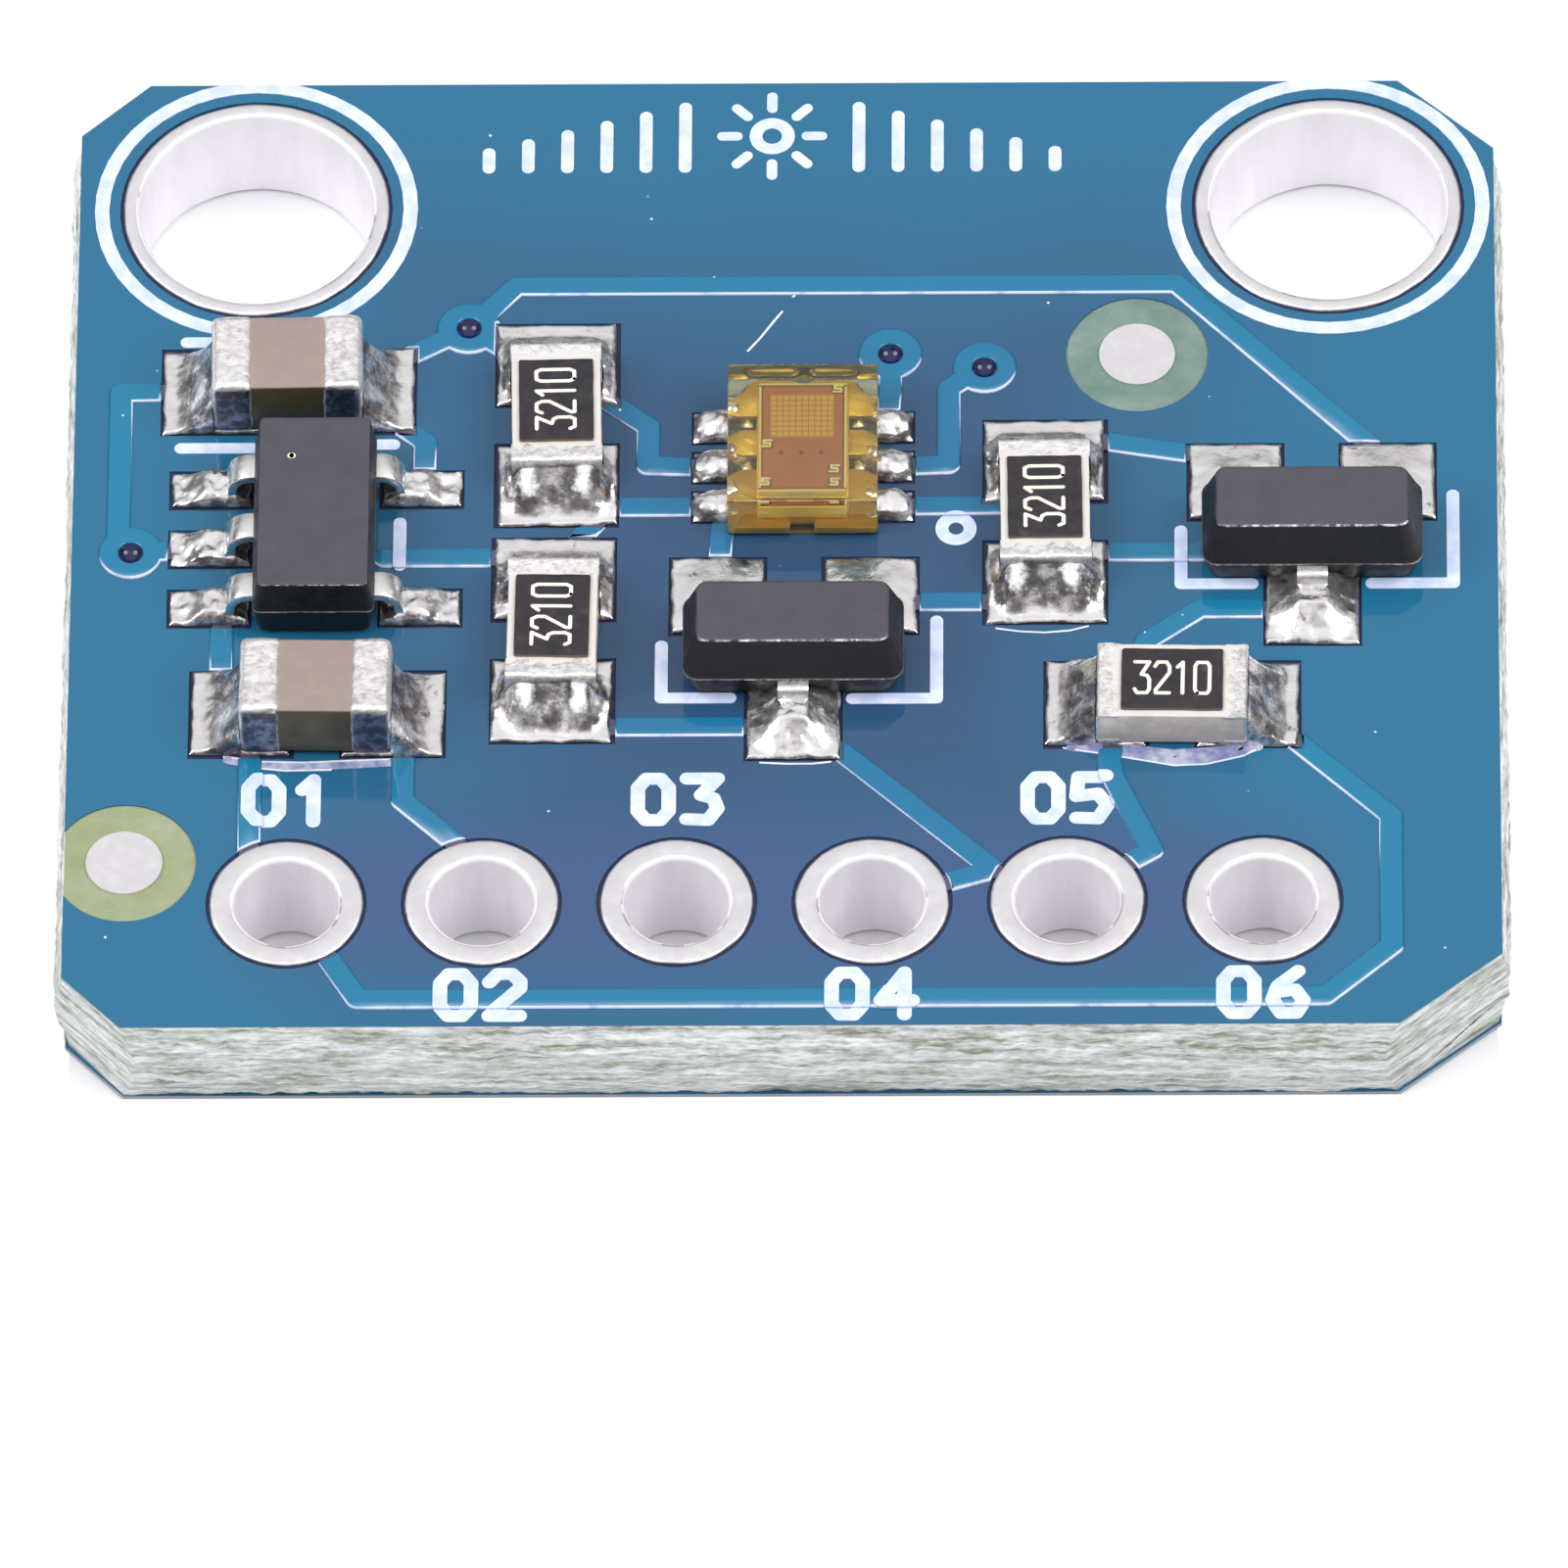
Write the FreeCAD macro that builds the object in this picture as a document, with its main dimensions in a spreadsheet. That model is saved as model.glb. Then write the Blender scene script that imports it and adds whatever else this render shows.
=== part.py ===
import FreeCAD, Part
import math
import os
import Sketcher
from FreeCAD import Rotation, Vector

# Light sensor module: a scored and snapped circuit board with six terminal holes,
# two mounting holes and nine surface-mounted components.
# Millimetres. X runs along the terminal row, Y away from it, Z up from the underside.
# The origin is the middle of the outline, on the underside.

sizes = {
    # Outline at the snapped web, the V-scores and the layers of the board
    "board_long": 18.98,
    "board_wide": 15.70,
    "score_run": 0.135,
    "score_depth": 0.50,
    "laminate_thick": 1.515,
    "copper_thick": 0.035,
    "mask_thick": 0.025,
    "ink_thick": 0.015,
    "solder_thick": 0.04,
    # Corners cut off at an angle: how far each cut runs along X and along Y
    "corner_front_left_long": 1.04,
    "corner_front_left_wide": 1.07,
    "corner_front_right_long": 1.64,
    "corner_front_right_wide": 1.35,
    "corner_back_left_long": 1.18,
    "corner_back_left_wide": 1.10,
    "corner_back_right_long": 1.55,
    "corner_back_right_wide": 1.39,
    # Plated holes
    "barrel_thick": 0.035,
    "mount_spacing": 14.18,
    "mount_middle": 0.07,
    "mount_back": 5.63,
    "mount_hole_radius": 1.54,
    "mount_ring_radius": 1.745,
    "terminal_pitch": 2.54,
    "terminal_middle": -0.10,
    "terminal_back": -5.745,
    "terminal_hole_radius": 0.675,
    "terminal_ring_radius": 0.99,
    "via_hole_radius": 0.16,
    "via_ring_radius": 0.39,
    "via_1_x": -8.58,
    "via_1_y": -0.05,
    "via_2_x": -4.18,
    "via_2_y": 3.63,
    "via_3_x": 1.38,
    "via_3_y": 3.18,
    "via_4_x": 2.62,
    "via_4_y": 2.95,
    # Alignment dots, tracks and openings
    "dot_radius": 0.50,
    "dot_opening_radius": 0.94,
    "dot_left_x": -8.57,
    "dot_left_y": -5.08,
    "dot_right_x": 4.63,
    "dot_right_y": 3.17,
    "track_wide": 0.25,
    "mask_side": 0.03,
    "mask_gap": 0.06,
    "pour_inset": 0.50,
    "pour_gap": 0.25,
    # Printed legend
    "ink_ring_inner": 1.95,
    "ink_ring_outer": 2.14,
    "ink_line": 0.17,
    "ink_number_line": 0.19,
    "ink_number_high": 0.86,
    "ink_number_behind": 1.22,
    "ink_number_before": 1.92,
    # Chip components: resistors and capacitors share the length; each sits a little forward on its pads
    "chip_long": 1.99,
    "chip_forward": 0.07,
    "chip_round": 0.05,
    "cap_thick": 0.025,
    "chip_pad_long": 1.27,
    "chip_pad_offset": 0.99,
    "chip_pad_wide_upright": 1.53,
    "chip_pad_wide_level": 1.31,
    "resistor_wide": 1.20,
    "resistor_high": 0.60,
    "resistor_cap_long": 0.32,
    "overcoat_long": 1.33,
    "overcoat_wide": 1.00,
    "overcoat_thick": 0.03,
    "capacitor_wide": 1.25,
    "capacitor_high": 0.95,
    "capacitor_cap_long": 0.53,
    "resistor_1_x": -3.00,
    "resistor_1_y": 2.03,
    "resistor_1_turn": 91.0,
    "resistor_2_x": -3.02,
    "resistor_2_y": -1.50,
    "resistor_2_turn": 89.2,
    "resistor_3_x": 3.42,
    "resistor_3_y": 0.41,
    "resistor_3_turn": 90.8,
    "resistor_4_x": 5.08,
    "resistor_4_y": -2.58,
    "resistor_4_turn": -1.0,
    "capacitor_1_x": -6.54,
    "capacitor_1_y": 2.60,
    "capacitor_1_turn": 0.8,
    "capacitor_2_x": -6.09,
    "capacitor_2_y": -2.69,
    "capacitor_2_turn": -0.8,
    # Moulded packages with bent leads
    "lead_wide": 0.40,
    "lead_thick": 0.13,
    "lead_foot": 0.42,
    "lead_run": 0.05,
    "lead_bend": 0.07,
    "lead_hold": 0.22,
    "mould_lift": 0.05,
    "mould_draft_under": 0.07,
    "regulator_x": -6.15,
    "regulator_y": 0.01,
    "regulator_long": 1.60,
    "regulator_wide": 2.90,
    "regulator_high": 1.02,
    "regulator_draft": 0.07,
    "regulator_shoulder": 0.50,
    "regulator_span": 2.82,
    "regulator_pitch": 0.97,
    "regulator_pad_long": 1.00,
    "regulator_pad_wide": 0.52,
    "regulator_pad_offset": 1.38,
    "regulator_dot_radius": 0.14,
    "regulator_dot_depth": 0.03,
    "transistor_long": 1.38,
    "transistor_wide": 2.90,
    "transistor_high": 0.95,
    "transistor_draft": 0.19,
    "transistor_shoulder": 0.45,
    "transistor_span": 2.42,
    "transistor_pitch": 2.00,
    "transistor_pad_long": 1.17,
    "transistor_pad_wide": 1.17,
    "transistor_pad_offset": 1.02,
    "transistor_1_x": 0.13,
    "transistor_1_y": -1.81,
    "transistor_2_x": 6.92,
    "transistor_2_y": 0.03,
    # Clear sensor package with its frame and die
    "sensor_x": 0.24,
    "sensor_y": 1.32,
    "sensor_long": 1.97,
    "sensor_wide": 2.26,
    "sensor_high": 0.73,
    "sensor_pitch": 0.65,
    "sensor_pad_long": 0.78,
    "sensor_pad_wide": 0.42,
    "sensor_pad_offset": 1.02,
    "finger_long": 0.40,
    "finger_wide": 0.36,
    "frame_thick": 0.12,
    "paddle_long": 1.12,
    "paddle_wide": 1.70,
    "die_long": 1.08,
    "die_wide": 1.66,
    "die_thick": 0.20,
    "die_back": 0.08,
    # Solder
    "solder_climb_resistor": 0.34,
    "solder_climb_capacitor": 0.55,
    "solder_climb_lead": 0.15,
    "solder_climb_sensor": 0.22,
    "solder_skin": 0.03,
}

# Each track is a run of points, every point measured from the thing that it belongs to
tracks = [
    [("capacitor_1", -1.60, 0.0), ("capacitor_1", -2.21, 0.0), ("via_1", -0.17, 0.25), ("via_1", 0.0, 0.0)],
    [("via_1", 0.0, 0.0), ("regulator", -1.40, 0.0)],
    [("capacitor_1", 1.50, -0.60), ("capacitor_1", 1.81, -0.85), ("regulator", 1.40, 0.97)],
    [("via_2", 0.0, 0.0), ("capacitor_1", 1.45, 0.50)],
    [("via_2", 0.0, 0.0), ("resistor_1", -0.50, 1.10)],
    [("via_2", 0.0, 0.0), ("via_2", 0.62, 0.70), ("dot_right", 0.52, 1.16), ("transistor_2", 0.90, 1.45)],
    [("regulator", 0.90, -0.16), ("resistor_2", -0.70, 1.35)],
    [("regulator", -1.21, -0.90), ("capacitor_2", -1.27, 0.60)],
    [("capacitor_2", -0.87, -0.60), ("terminal_1", -0.50, 0.60)],
    [("capacitor_2", 1.13, -0.60), ("capacitor_2", 1.13, -1.41), ("terminal_2", -0.10, 0.70)],
    [
        ("terminal_1", 0.40, -0.60),
        ("terminal_1", 0.95, -1.555),
        ("terminal_6", 0.80, -1.555),
        ("terminal_6", 1.67, -0.755),
        ("terminal_6", 1.67, 1.345),
        ("resistor_4", 1.62, -0.62),
    ],
    [("transistor_1", 0.45, -1.35), ("terminal_4", 1.58, 0.495), ("terminal_4", 1.00, 0.30)],
    [("resistor_2", 0.60, -1.42), ("transistor_1", -0.40, -1.11)],
    [
        ("transistor_2", -0.40, -1.06),
        ("transistor_2", -1.47, -1.06),
        ("resistor_4", -0.33, 1.03),
        ("resistor_4", -0.83, -0.87),
        ("resistor_4", -0.78, -1.17),
        ("terminal_5", 1.10, 0.795),
        ("terminal_5", 0.50, 0.40),
    ],
    [("resistor_2", 0.30, 1.60), ("resistor_2", 0.72, 2.17), ("sensor", -1.10, -0.65)],
    [
        ("resistor_1", 0.40, 0.60),
        ("resistor_1", 1.20, -0.04),
        ("resistor_1", 1.20, -0.68),
        ("sensor", -1.10, 0.0),
    ],
    [("sensor", -1.04, -0.65), ("transistor_1", -1.00, 1.20)],
    [("sensor", 1.10, -0.65), ("resistor_3", -0.60, 0.27)],
    [("sensor", 1.10, 0.0), ("via_4", -0.47, -1.60), ("via_4", -0.47, -0.35), ("via_4", 0.0, 0.0)],
    [("sensor", 1.10, 0.65), ("via_3", 0.0, -0.60), ("via_3", 0.0, 0.0)],
    [("resistor_3", 0.50, 1.36), ("transistor_2", -1.10, 1.40)],
    [("resistor_3", 0.50, -0.50), ("transistor_2", -1.47, -0.13), ("transistor_2", -0.95, 0.45)],
    [("transistor_1", 1.20, 0.91), ("resistor_3", -0.60, -1.31)],
]

# Numerals as strokes in a box one unit high
numeral_wide = 0.60
numerals = {
    "0": [
        (0.16, 0.00), (0.00, 0.22), (0.00, 0.78), (0.16, 1.00), (0.44, 1.00),
        (0.60, 0.78), (0.60, 0.22), (0.44, 0.00), (0.16, 0.00),
    ],
    "1": [(0.10, 0.76), (0.32, 1.00), (0.32, 0.00)],
    "2": [(0.00, 0.80), (0.16, 1.00), (0.44, 1.00), (0.60, 0.82), (0.60, 0.62), (0.00, 0.00), (0.60, 0.00)],
    "3": [(0.00, 1.00), (0.60, 1.00), (0.28, 0.60), (0.52, 0.52), (0.60, 0.28), (0.42, 0.00), (0.00, 0.02)],
    "4": [(0.46, 0.00), (0.46, 1.00), (0.00, 0.30), (0.62, 0.30)],
    "5": [(0.58, 1.00), (0.04, 1.00), (0.00, 0.54), (0.42, 0.60), (0.60, 0.32), (0.42, 0.00), (0.00, 0.02)],
    "6": [
        (0.50, 1.00), (0.12, 0.66), (0.00, 0.28), (0.16, 0.00), (0.46, 0.00),
        (0.60, 0.26), (0.44, 0.52), (0.08, 0.46),
    ],
}

document = FreeCAD.newDocument("light_sensor_module")
sheet = document.addObject("Spreadsheet::Sheet", "Sizes")
for row, (alias, number) in enumerate(sizes.items(), 1):
    sheet.set(f"A{row}", alias)
    sheet.set(f"B{row}", str(number))
    sheet.setAlias(f"B{row}", alias)
document.recompute()


# A size together with the sheet formula that gives it
class Size:
    def __init__(self, text, value):
        self.text = text
        self.value = value

    def join(self, sign, other, value):
        return Size(f"({self.text} {sign} {formula(other)})", value)

    def __add__(self, other):
        return self.join("+", other, self.value + number_of(other))

    def __sub__(self, other):
        return self.join("-", other, self.value - number_of(other))

    def __mul__(self, other):
        return self.join("*", other, self.value * number_of(other))

    def __truediv__(self, other):
        return self.join("/", other, self.value / number_of(other))

    def __neg__(self):
        return Size(f"(-{self.text})", -self.value)


def number_of(item):
    return item.value if isinstance(item, Size) else item


def formula(item):
    return item.text if isinstance(item, Size) else repr(item)


def size(alias):
    return Size(f"Sizes.{alias}", float(sheet.get(alias)))


def slope(run, rise):
    return Size(f"atan({formula(run)} / {formula(rise)})", math.degrees(math.atan(run.value / rise.value)))


def bind(item, **properties):
    for name, value in properties.items():
        item.setExpression(name, formula(value))


def place(item, x, y, z, turn=None):
    for axis, value in zip("xyz", (x, y, z)):
        item.setExpression(f"Placement.Base.{axis}", formula(value))
    if turn is not None:
        item.setExpression("Placement.Rotation.Yaw", formula(turn))
    return item


zero = Size("0", 0.0)
board_long, board_wide = size("board_long"), size("board_wide")
face_long = board_long - size("score_run") * 2
face_wide = board_wide - size("score_run") * 2
copper_thick, mask_thick = size("copper_thick"), size("mask_thick")
laminate_low = mask_thick + copper_thick
laminate_top = laminate_low + size("laminate_thick")
copper_top = laminate_top + copper_thick
mask_top = laminate_top + mask_thick
ridge_top = copper_top + mask_thick
seat = copper_top + size("solder_thick")

anchors = {}
for name in ("via_1", "via_2", "via_3", "via_4", "dot_left", "dot_right", "regulator", "sensor",
             "transistor_1", "transistor_2", "resistor_1", "resistor_2", "resistor_3", "resistor_4",
             "capacitor_1", "capacitor_2"):
    anchors[name] = (size(f"{name}_x"), size(f"{name}_y"))
for number in range(1, 7):
    steps_from_middle = number - 3.5
    row_x = size("terminal_middle") + size("terminal_pitch") * steps_from_middle
    anchors[f"terminal_{number}"] = (row_x, size("terminal_back"))
for side, sign in (("left", -0.5), ("right", 0.5)):
    anchors[f"mount_{side}"] = (size("mount_middle") + size("mount_spacing") * sign, size("mount_back"))

nodes = []


# Marks an object as a finished sub-part whose file takes its label
def finish(item, label):
    item.Label = label
    nodes.append(item)
    return item


# Sketches and bodies
def new_body(name):
    return document.addObject("PartDesign::Body", name)


def new_sketch(body, role="XY_Plane", level=zero):
    plane = next(feature for feature in body.Origin.OriginFeatures if feature.Role == role)
    sketch = body.newObject("Sketcher::SketchObject", f"{body.Name}_sketch")
    sketch.AttachmentSupport = [(plane, "")]
    sketch.MapMode = "FlatFace"
    sketch.setExpression("AttachmentOffset.Base.z", formula(level))
    return sketch


def fix_point(sketch, element, spot, point):
    for kind, value in zip(("DistanceX", "DistanceY"), point):
        index = sketch.addConstraint(Sketcher.Constraint(kind, -1, 1, element, spot, number_of(value)))
        sketch.setExpression(f"Constraints[{index}]", formula(value))


def draw_polygon(sketch, corners):
    points = [Vector(number_of(x), number_of(y), 0) for x, y in corners]
    first = sketch.GeometryCount
    for index, start in enumerate(points):
        sketch.addGeometry(Part.LineSegment(start, points[(index + 1) % len(points)]))
    for index, corner in enumerate(corners):
        after = first + (index + 1) % len(corners)
        sketch.addConstraint(Sketcher.Constraint("Coincident", first + index, 2, after, 1))
        fix_point(sketch, first + index, 1, corner)


def draw_rectangle(sketch, long, wide):
    x, y = long / 2, wide / 2
    draw_polygon(sketch, [(-x, -y), (x, -y), (x, y), (-x, y)])


def draw_circle(sketch, middle, radius):
    centre = Vector(number_of(middle[0]), number_of(middle[1]), 0)
    element = sketch.addGeometry(Part.Circle(centre, Vector(0, 0, 1), number_of(radius)))
    index = sketch.addConstraint(Sketcher.Constraint("Radius", element, number_of(radius)))
    sketch.setExpression(f"Constraints[{index}]", formula(radius))
    fix_point(sketch, element, 3, middle)


def pad(body, sketch, length, taper=None, down=False, midplane=False):
    feature = body.newObject("PartDesign::Pad", f"{body.Name}_pad")
    feature.Profile = sketch
    feature.Reversed = down
    feature.Midplane = midplane
    bind(feature, Length=length)
    if taper is not None:
        bind(feature, TaperAngle=-taper)
    return feature


def pocket_through(body, sketch):
    feature = body.newObject("PartDesign::Pocket", f"{body.Name}_pocket")
    feature.Profile = sketch
    feature.Type = "ThroughAll"
    feature.Midplane = True
    return feature


def centred_block(name, long, wide, high):
    body = new_body(name)
    sketch = new_sketch(body)
    draw_rectangle(sketch, long, wide)
    pad(body, sketch, high)
    return body


# Primitives and booleans
def box(name, low, extent):
    item = document.addObject("Part::Box", name)
    bind(item, Length=extent[0], Width=extent[1], Height=extent[2])
    return place(item, *low)


def cylinder(name, middle, radius, low, high):
    item = document.addObject("Part::Cylinder", name)
    bind(item, Radius=radius, Height=high)
    return place(item, middle[0], middle[1], low)


# A block whose top is smaller than its base; both are (low x, high x, low y, high y)
def mound(name, base, top, low, high):
    item = document.addObject("Part::Wedge", name)
    bind(item, Xmin=base[0], Xmax=base[1], Zmin=-base[3], Zmax=-base[2], Ymin=zero, Ymax=high,
         X2min=top[0], X2max=top[1], Z2min=-top[3], Z2max=-top[2])
    item.Placement.Rotation = Rotation(Vector(1, 0, 0), 90)
    return place(item, zero, zero, low)


def joined(name, items):
    item = document.addObject("Part::MultiFuse", name)
    item.Shapes = items
    item.Refine = True
    return item


def common(name, items):
    item = document.addObject("Part::MultiCommon", name)
    item.Shapes = items
    return item


def cut(name, base, tools):
    item = document.addObject("Part::Cut", name)
    item.Base = base
    item.Tool = tools[0] if len(tools) == 1 else joined(f"{name}_tools", tools)
    return item


def grouped(name, items):
    item = document.addObject("Part::Compound", name)
    item.Links = items
    return item


# Flat strokes of a pen of one width, raised into a solid
def stroke_faces(points, wide):
    half = wide / 2
    faces = []
    for start, end in zip(points, points[1:]):
        along = Vector(*end, 0) - Vector(*start, 0)
        along.normalize()
        side = Vector(-along.y, along.x, 0) * half
        a, b = Vector(*start, 0), Vector(*end, 0)
        cap_end = Part.Arc(b - side, b + along * half, b + side).toShape()
        cap_start = Part.Arc(a + side, a - along * half, a - side).toShape()
        right = Part.LineSegment(a - side, b - side).toShape()
        left = Part.LineSegment(b + side, a + side).toShape()
        faces.append(Part.Face(Part.Wire([right, cap_end, left, cap_start])))
    return faces


def ring_face(middle, outer, inner):
    centre = Vector(*middle, 0)
    disc = Part.Face(Part.Wire(Part.makeCircle(outer, centre)))
    return disc.cut(Part.Face(Part.Wire(Part.makeCircle(inner, centre))))


def raised(name, faces, low, high):
    item = document.addObject("Part::Feature", name)
    flat = faces[0].multiFuse(faces[1:]).removeSplitter() if len(faces) > 1 else faces[0]
    item.Shape = flat.extrude(Vector(0, 0, number_of(high)))
    item.Placement.Base = Vector(0, 0, number_of(low))
    return item


# Board
corner_sides = {
    "front_left": (-1, -1),
    "front_right": (1, -1),
    "back_left": (-1, 1),
    "back_right": (1, 1),
}


# One polygon per corner: the slanting cut, closed well outside the board
def draw_corner_cuts(sketch, extra=zero):
    x, y = board_long / 2, board_wide / 2
    for corner, (along, back) in corner_sides.items():
        cut_x = x - size(f"corner_{corner}_long") - extra
        cut_y = y - size(f"corner_{corner}_wide") - extra
        outline = [(cut_x, y), (x, cut_y), (x * 2, cut_y), (x * 2, y * 2), (cut_x, y * 2)]
        draw_polygon(sketch, [(px * along, py * back) for px, py in outline])


holes = {}
for number in range(1, 7):
    holes[f"terminal_{number}"] = ("terminal_hole_radius", "terminal_ring_radius")
for side in ("left", "right"):
    holes[f"mount_{side}"] = ("mount_hole_radius", "mount_ring_radius")
for number in range(1, 5):
    holes[f"via_{number}"] = ("via_hole_radius", "via_ring_radius")

# The laminate: a snapped web between two V-scores, with its corners cut off
laminate = new_body("laminate")
web_low = laminate_low + size("score_depth")
web_top = laminate_top - size("score_depth")
score_slope = slope(size("score_run"), size("score_depth"))
web_sketch = new_sketch(laminate, level=web_low)
draw_rectangle(web_sketch, board_long, board_wide)
pad(laminate, web_sketch, web_top - web_low)
upper_sketch = new_sketch(laminate, level=web_top)
draw_rectangle(upper_sketch, board_long, board_wide)
pad(laminate, upper_sketch, size("score_depth"), taper=score_slope)
lower_sketch = new_sketch(laminate, level=web_low)
draw_rectangle(lower_sketch, board_long, board_wide)
pad(laminate, lower_sketch, size("score_depth"), taper=score_slope, down=True)
corner_sketch = new_sketch(laminate)
draw_corner_cuts(corner_sketch)
pocket_through(laminate, corner_sketch)
drill_sketch = new_sketch(laminate)
for name, (hole_radius, ring_radius) in holes.items():
    draw_circle(drill_sketch, anchors[name], size(hole_radius) + size("barrel_thick"))
pocket_through(laminate, drill_sketch)
finish(laminate, "board_laminate")


# A thin layer over the flat face of the board, with its corners cut off
def layer(name, long, wide, low, thick, corner_extra=zero):
    body = new_body(name)
    sketch = new_sketch(body, level=low)
    draw_rectangle(sketch, long, wide)
    pad(body, sketch, thick)
    corner_sketch = new_sketch(body)
    draw_corner_cuts(corner_sketch, corner_extra)
    pocket_through(body, corner_sketch)
    return body


# Plated holes: a barrel through the board with a ring on each face
def plating(name, hole_radius, ring_radius):
    barrel = hole_radius + size("barrel_thick")
    under = laminate_low - copper_thick
    body = new_body(f"{name}_barrel")
    sketch = new_sketch(body, "XZ_Plane")
    draw_polygon(sketch, [
        (hole_radius, under),
        (ring_radius, under),
        (ring_radius, laminate_low),
        (barrel, laminate_low),
        (barrel, laminate_top),
        (ring_radius, laminate_top),
        (ring_radius, copper_top),
        (hole_radius, copper_top),
    ])
    turn = body.newObject("PartDesign::Revolution", f"{name}_turn")
    turn.Profile = sketch
    turn.ReferenceAxis = (sketch, ["V_Axis"])
    return place(body, *anchors[name], zero)


for name, radii in holes.items():
    finish(plating(name, size(radii[0]), size(radii[1])), f"barrel_{name}")

for side in ("left", "right"):
    dot = cylinder(f"dot_{side}", anchors[f"dot_{side}"], size("dot_radius"), laminate_top, copper_thick)
    finish(dot, f"alignment_dot_{side}")

# Component pads: middle, length along X and width along Y, by component
pads = {}
for name in ("resistor_1", "resistor_2", "resistor_3", "resistor_4", "capacitor_1", "capacitor_2"):
    x, y = anchors[name]
    offset = size("chip_pad_offset")
    if size(f"{name}_turn").value > 45:
        extent = (size("chip_pad_wide_upright"), size("chip_pad_long"))
        pads[name] = [((x, y - offset), extent), ((x, y + offset), extent)]
    else:
        extent = (size("chip_pad_long"), size("chip_pad_wide_level"))
        pads[name] = [((x - offset, y), extent), ((x + offset, y), extent)]

x, y = anchors["regulator"]
offset, pitch = size("regulator_pad_offset"), size("regulator_pitch")
extent = (size("regulator_pad_long"), size("regulator_pad_wide"))
regulator_leads = [(-1, -1), (-1, 0), (-1, 1), (1, -1), (1, 1)]
pads["regulator"] = [((x + offset * side, y + pitch * step), extent) for side, step in regulator_leads]

offset, pitch = size("transistor_pad_offset"), size("transistor_pitch")
extent = (size("transistor_pad_long"), size("transistor_pad_wide"))
transistor_leads = [(-0.5, 1), (0.5, 1), (0, -1)]
for name in ("transistor_1", "transistor_2"):
    x, y = anchors[name]
    pads[name] = [((x + pitch * step, y + offset * side), extent) for step, side in transistor_leads]

x, y = anchors["sensor"]
offset, pitch = size("sensor_pad_offset"), size("sensor_pitch")
extent = (size("sensor_pad_long"), size("sensor_pad_wide"))
sensor_fingers = [(side, step) for side in (-1, 1) for step in (-1, 0, 1)]
pads["sensor"] = [((x + offset * side, y + pitch * step), extent) for side, step in sensor_fingers]


def pad_block(name, middle, extent, grow, low, high):
    x, y = middle[0] - extent[0] / 2 - grow, middle[1] - extent[1] / 2 - grow
    return box(name, (x, y, low), (extent[0] + grow * 2, extent[1] + grow * 2, high))


# Copper on the component face: pads and tracks, kept clear of the plated rings
def track_points(track):
    return [(anchors[name][0].value + dx, anchors[name][1].value + dy) for name, dx, dy in track]


def track_faces(wide):
    return [face for track in tracks for face in stroke_faces(track_points(track), wide)]


pad_copper = []
pad_openings = []
for name, blocks in pads.items():
    for count, (middle, extent) in enumerate(blocks, 1):
        label = f"{name}_pad_{count}"
        pad_copper.append(pad_block(label, middle, extent, zero, laminate_top, copper_thick))
        pad_openings.append(pad_block(f"{label}_opening", middle, extent, size("mask_gap"), laminate_low,
                                      laminate_top * 2))

track_wide = size("track_wide").value
mask_side = size("mask_side").value
track_copper = raised("track_copper", track_faces(track_wide), laminate_top, copper_thick)
ridge_high = ridge_top - laminate_top
ring_zones = []
via_rings = []
via_covers = []
openings = []
for name, (hole_radius, ring_radius) in holes.items():
    middle, ring = anchors[name], size(ring_radius)
    ring_zones.append(cylinder(f"{name}_zone", middle, ring, laminate_low, laminate_top * 2))
    if name.startswith("via"):
        via_rings.append(cylinder(f"{name}_ring", middle, ring, laminate_top, copper_thick))
        cover = ring + size("mask_side")
        via_covers.append(cylinder(f"{name}_cover", middle, cover, laminate_top, ridge_high))
        open_radius = size(hole_radius)
    else:
        open_radius = ring + size("mask_gap")
    openings.append(cylinder(f"{name}_opening", middle, open_radius, zero, laminate_top * 2))
for side in ("left", "right"):
    openings.append(cylinder(f"dot_{side}_opening", anchors[f"dot_{side}"], size("dot_opening_radius"),
                             laminate_low, laminate_top * 2))
top_copper = joined("top_copper", [track_copper] + pad_copper)
finish(cut("copper_top", top_copper, ring_zones), "copper_tracks_top")

# The solder mask on the component face lies over the tracks as low ridges
mask_slab = layer("mask_slab", face_long, face_wide, laminate_top, mask_thick)
ridges = raised("ridges", track_faces(track_wide + 2 * mask_side), laminate_top, ridge_high)
mask_blank = joined("mask_blank", [mask_slab, ridges] + via_covers)
top_mask = cut("top_mask", mask_blank, [top_copper] + via_rings + openings + pad_openings)
finish(top_mask, "solder_mask_top")

# Underside: one copper pour under a flat mask, both clear of the plated rings
pour_inset = size("pour_inset")
pour = layer("pour", face_long - pour_inset * 2, face_wide - pour_inset * 2, mask_thick, copper_thick,
             corner_extra=pour_inset)
pour_zones = []
for name, (hole_radius, ring_radius) in holes.items():
    clear_radius = size(ring_radius) + size("pour_gap")
    pour_zones.append(cylinder(f"{name}_pour_zone", anchors[name], clear_radius, zero, laminate_low * 2))
pour_copper = finish(cut("pour_copper", pour, pour_zones), "copper_pour_bottom")
under_slab = layer("under_slab", face_long, face_wide, zero, laminate_low)
under_sketch = new_sketch(under_slab)
for name, (hole_radius, ring_radius) in holes.items():
    covered = name.startswith("via")
    radius = size(ring_radius) if covered else size(ring_radius) + size("mask_gap")
    draw_circle(under_sketch, anchors[name], radius)
pocket_through(under_slab, under_sketch)
finish(cut("under_mask", under_slab, [pour_copper]), "solder_mask_bottom")


# Printed legend: rings, component corners, terminal numbers and a sun between two scales
def shifted(points, origin, scale=1.0):
    return [(origin[0] + scale * x, origin[1] + scale * y) for x, y in points]


def values(name):
    return anchors[name][0].value, anchors[name][1].value


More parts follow.
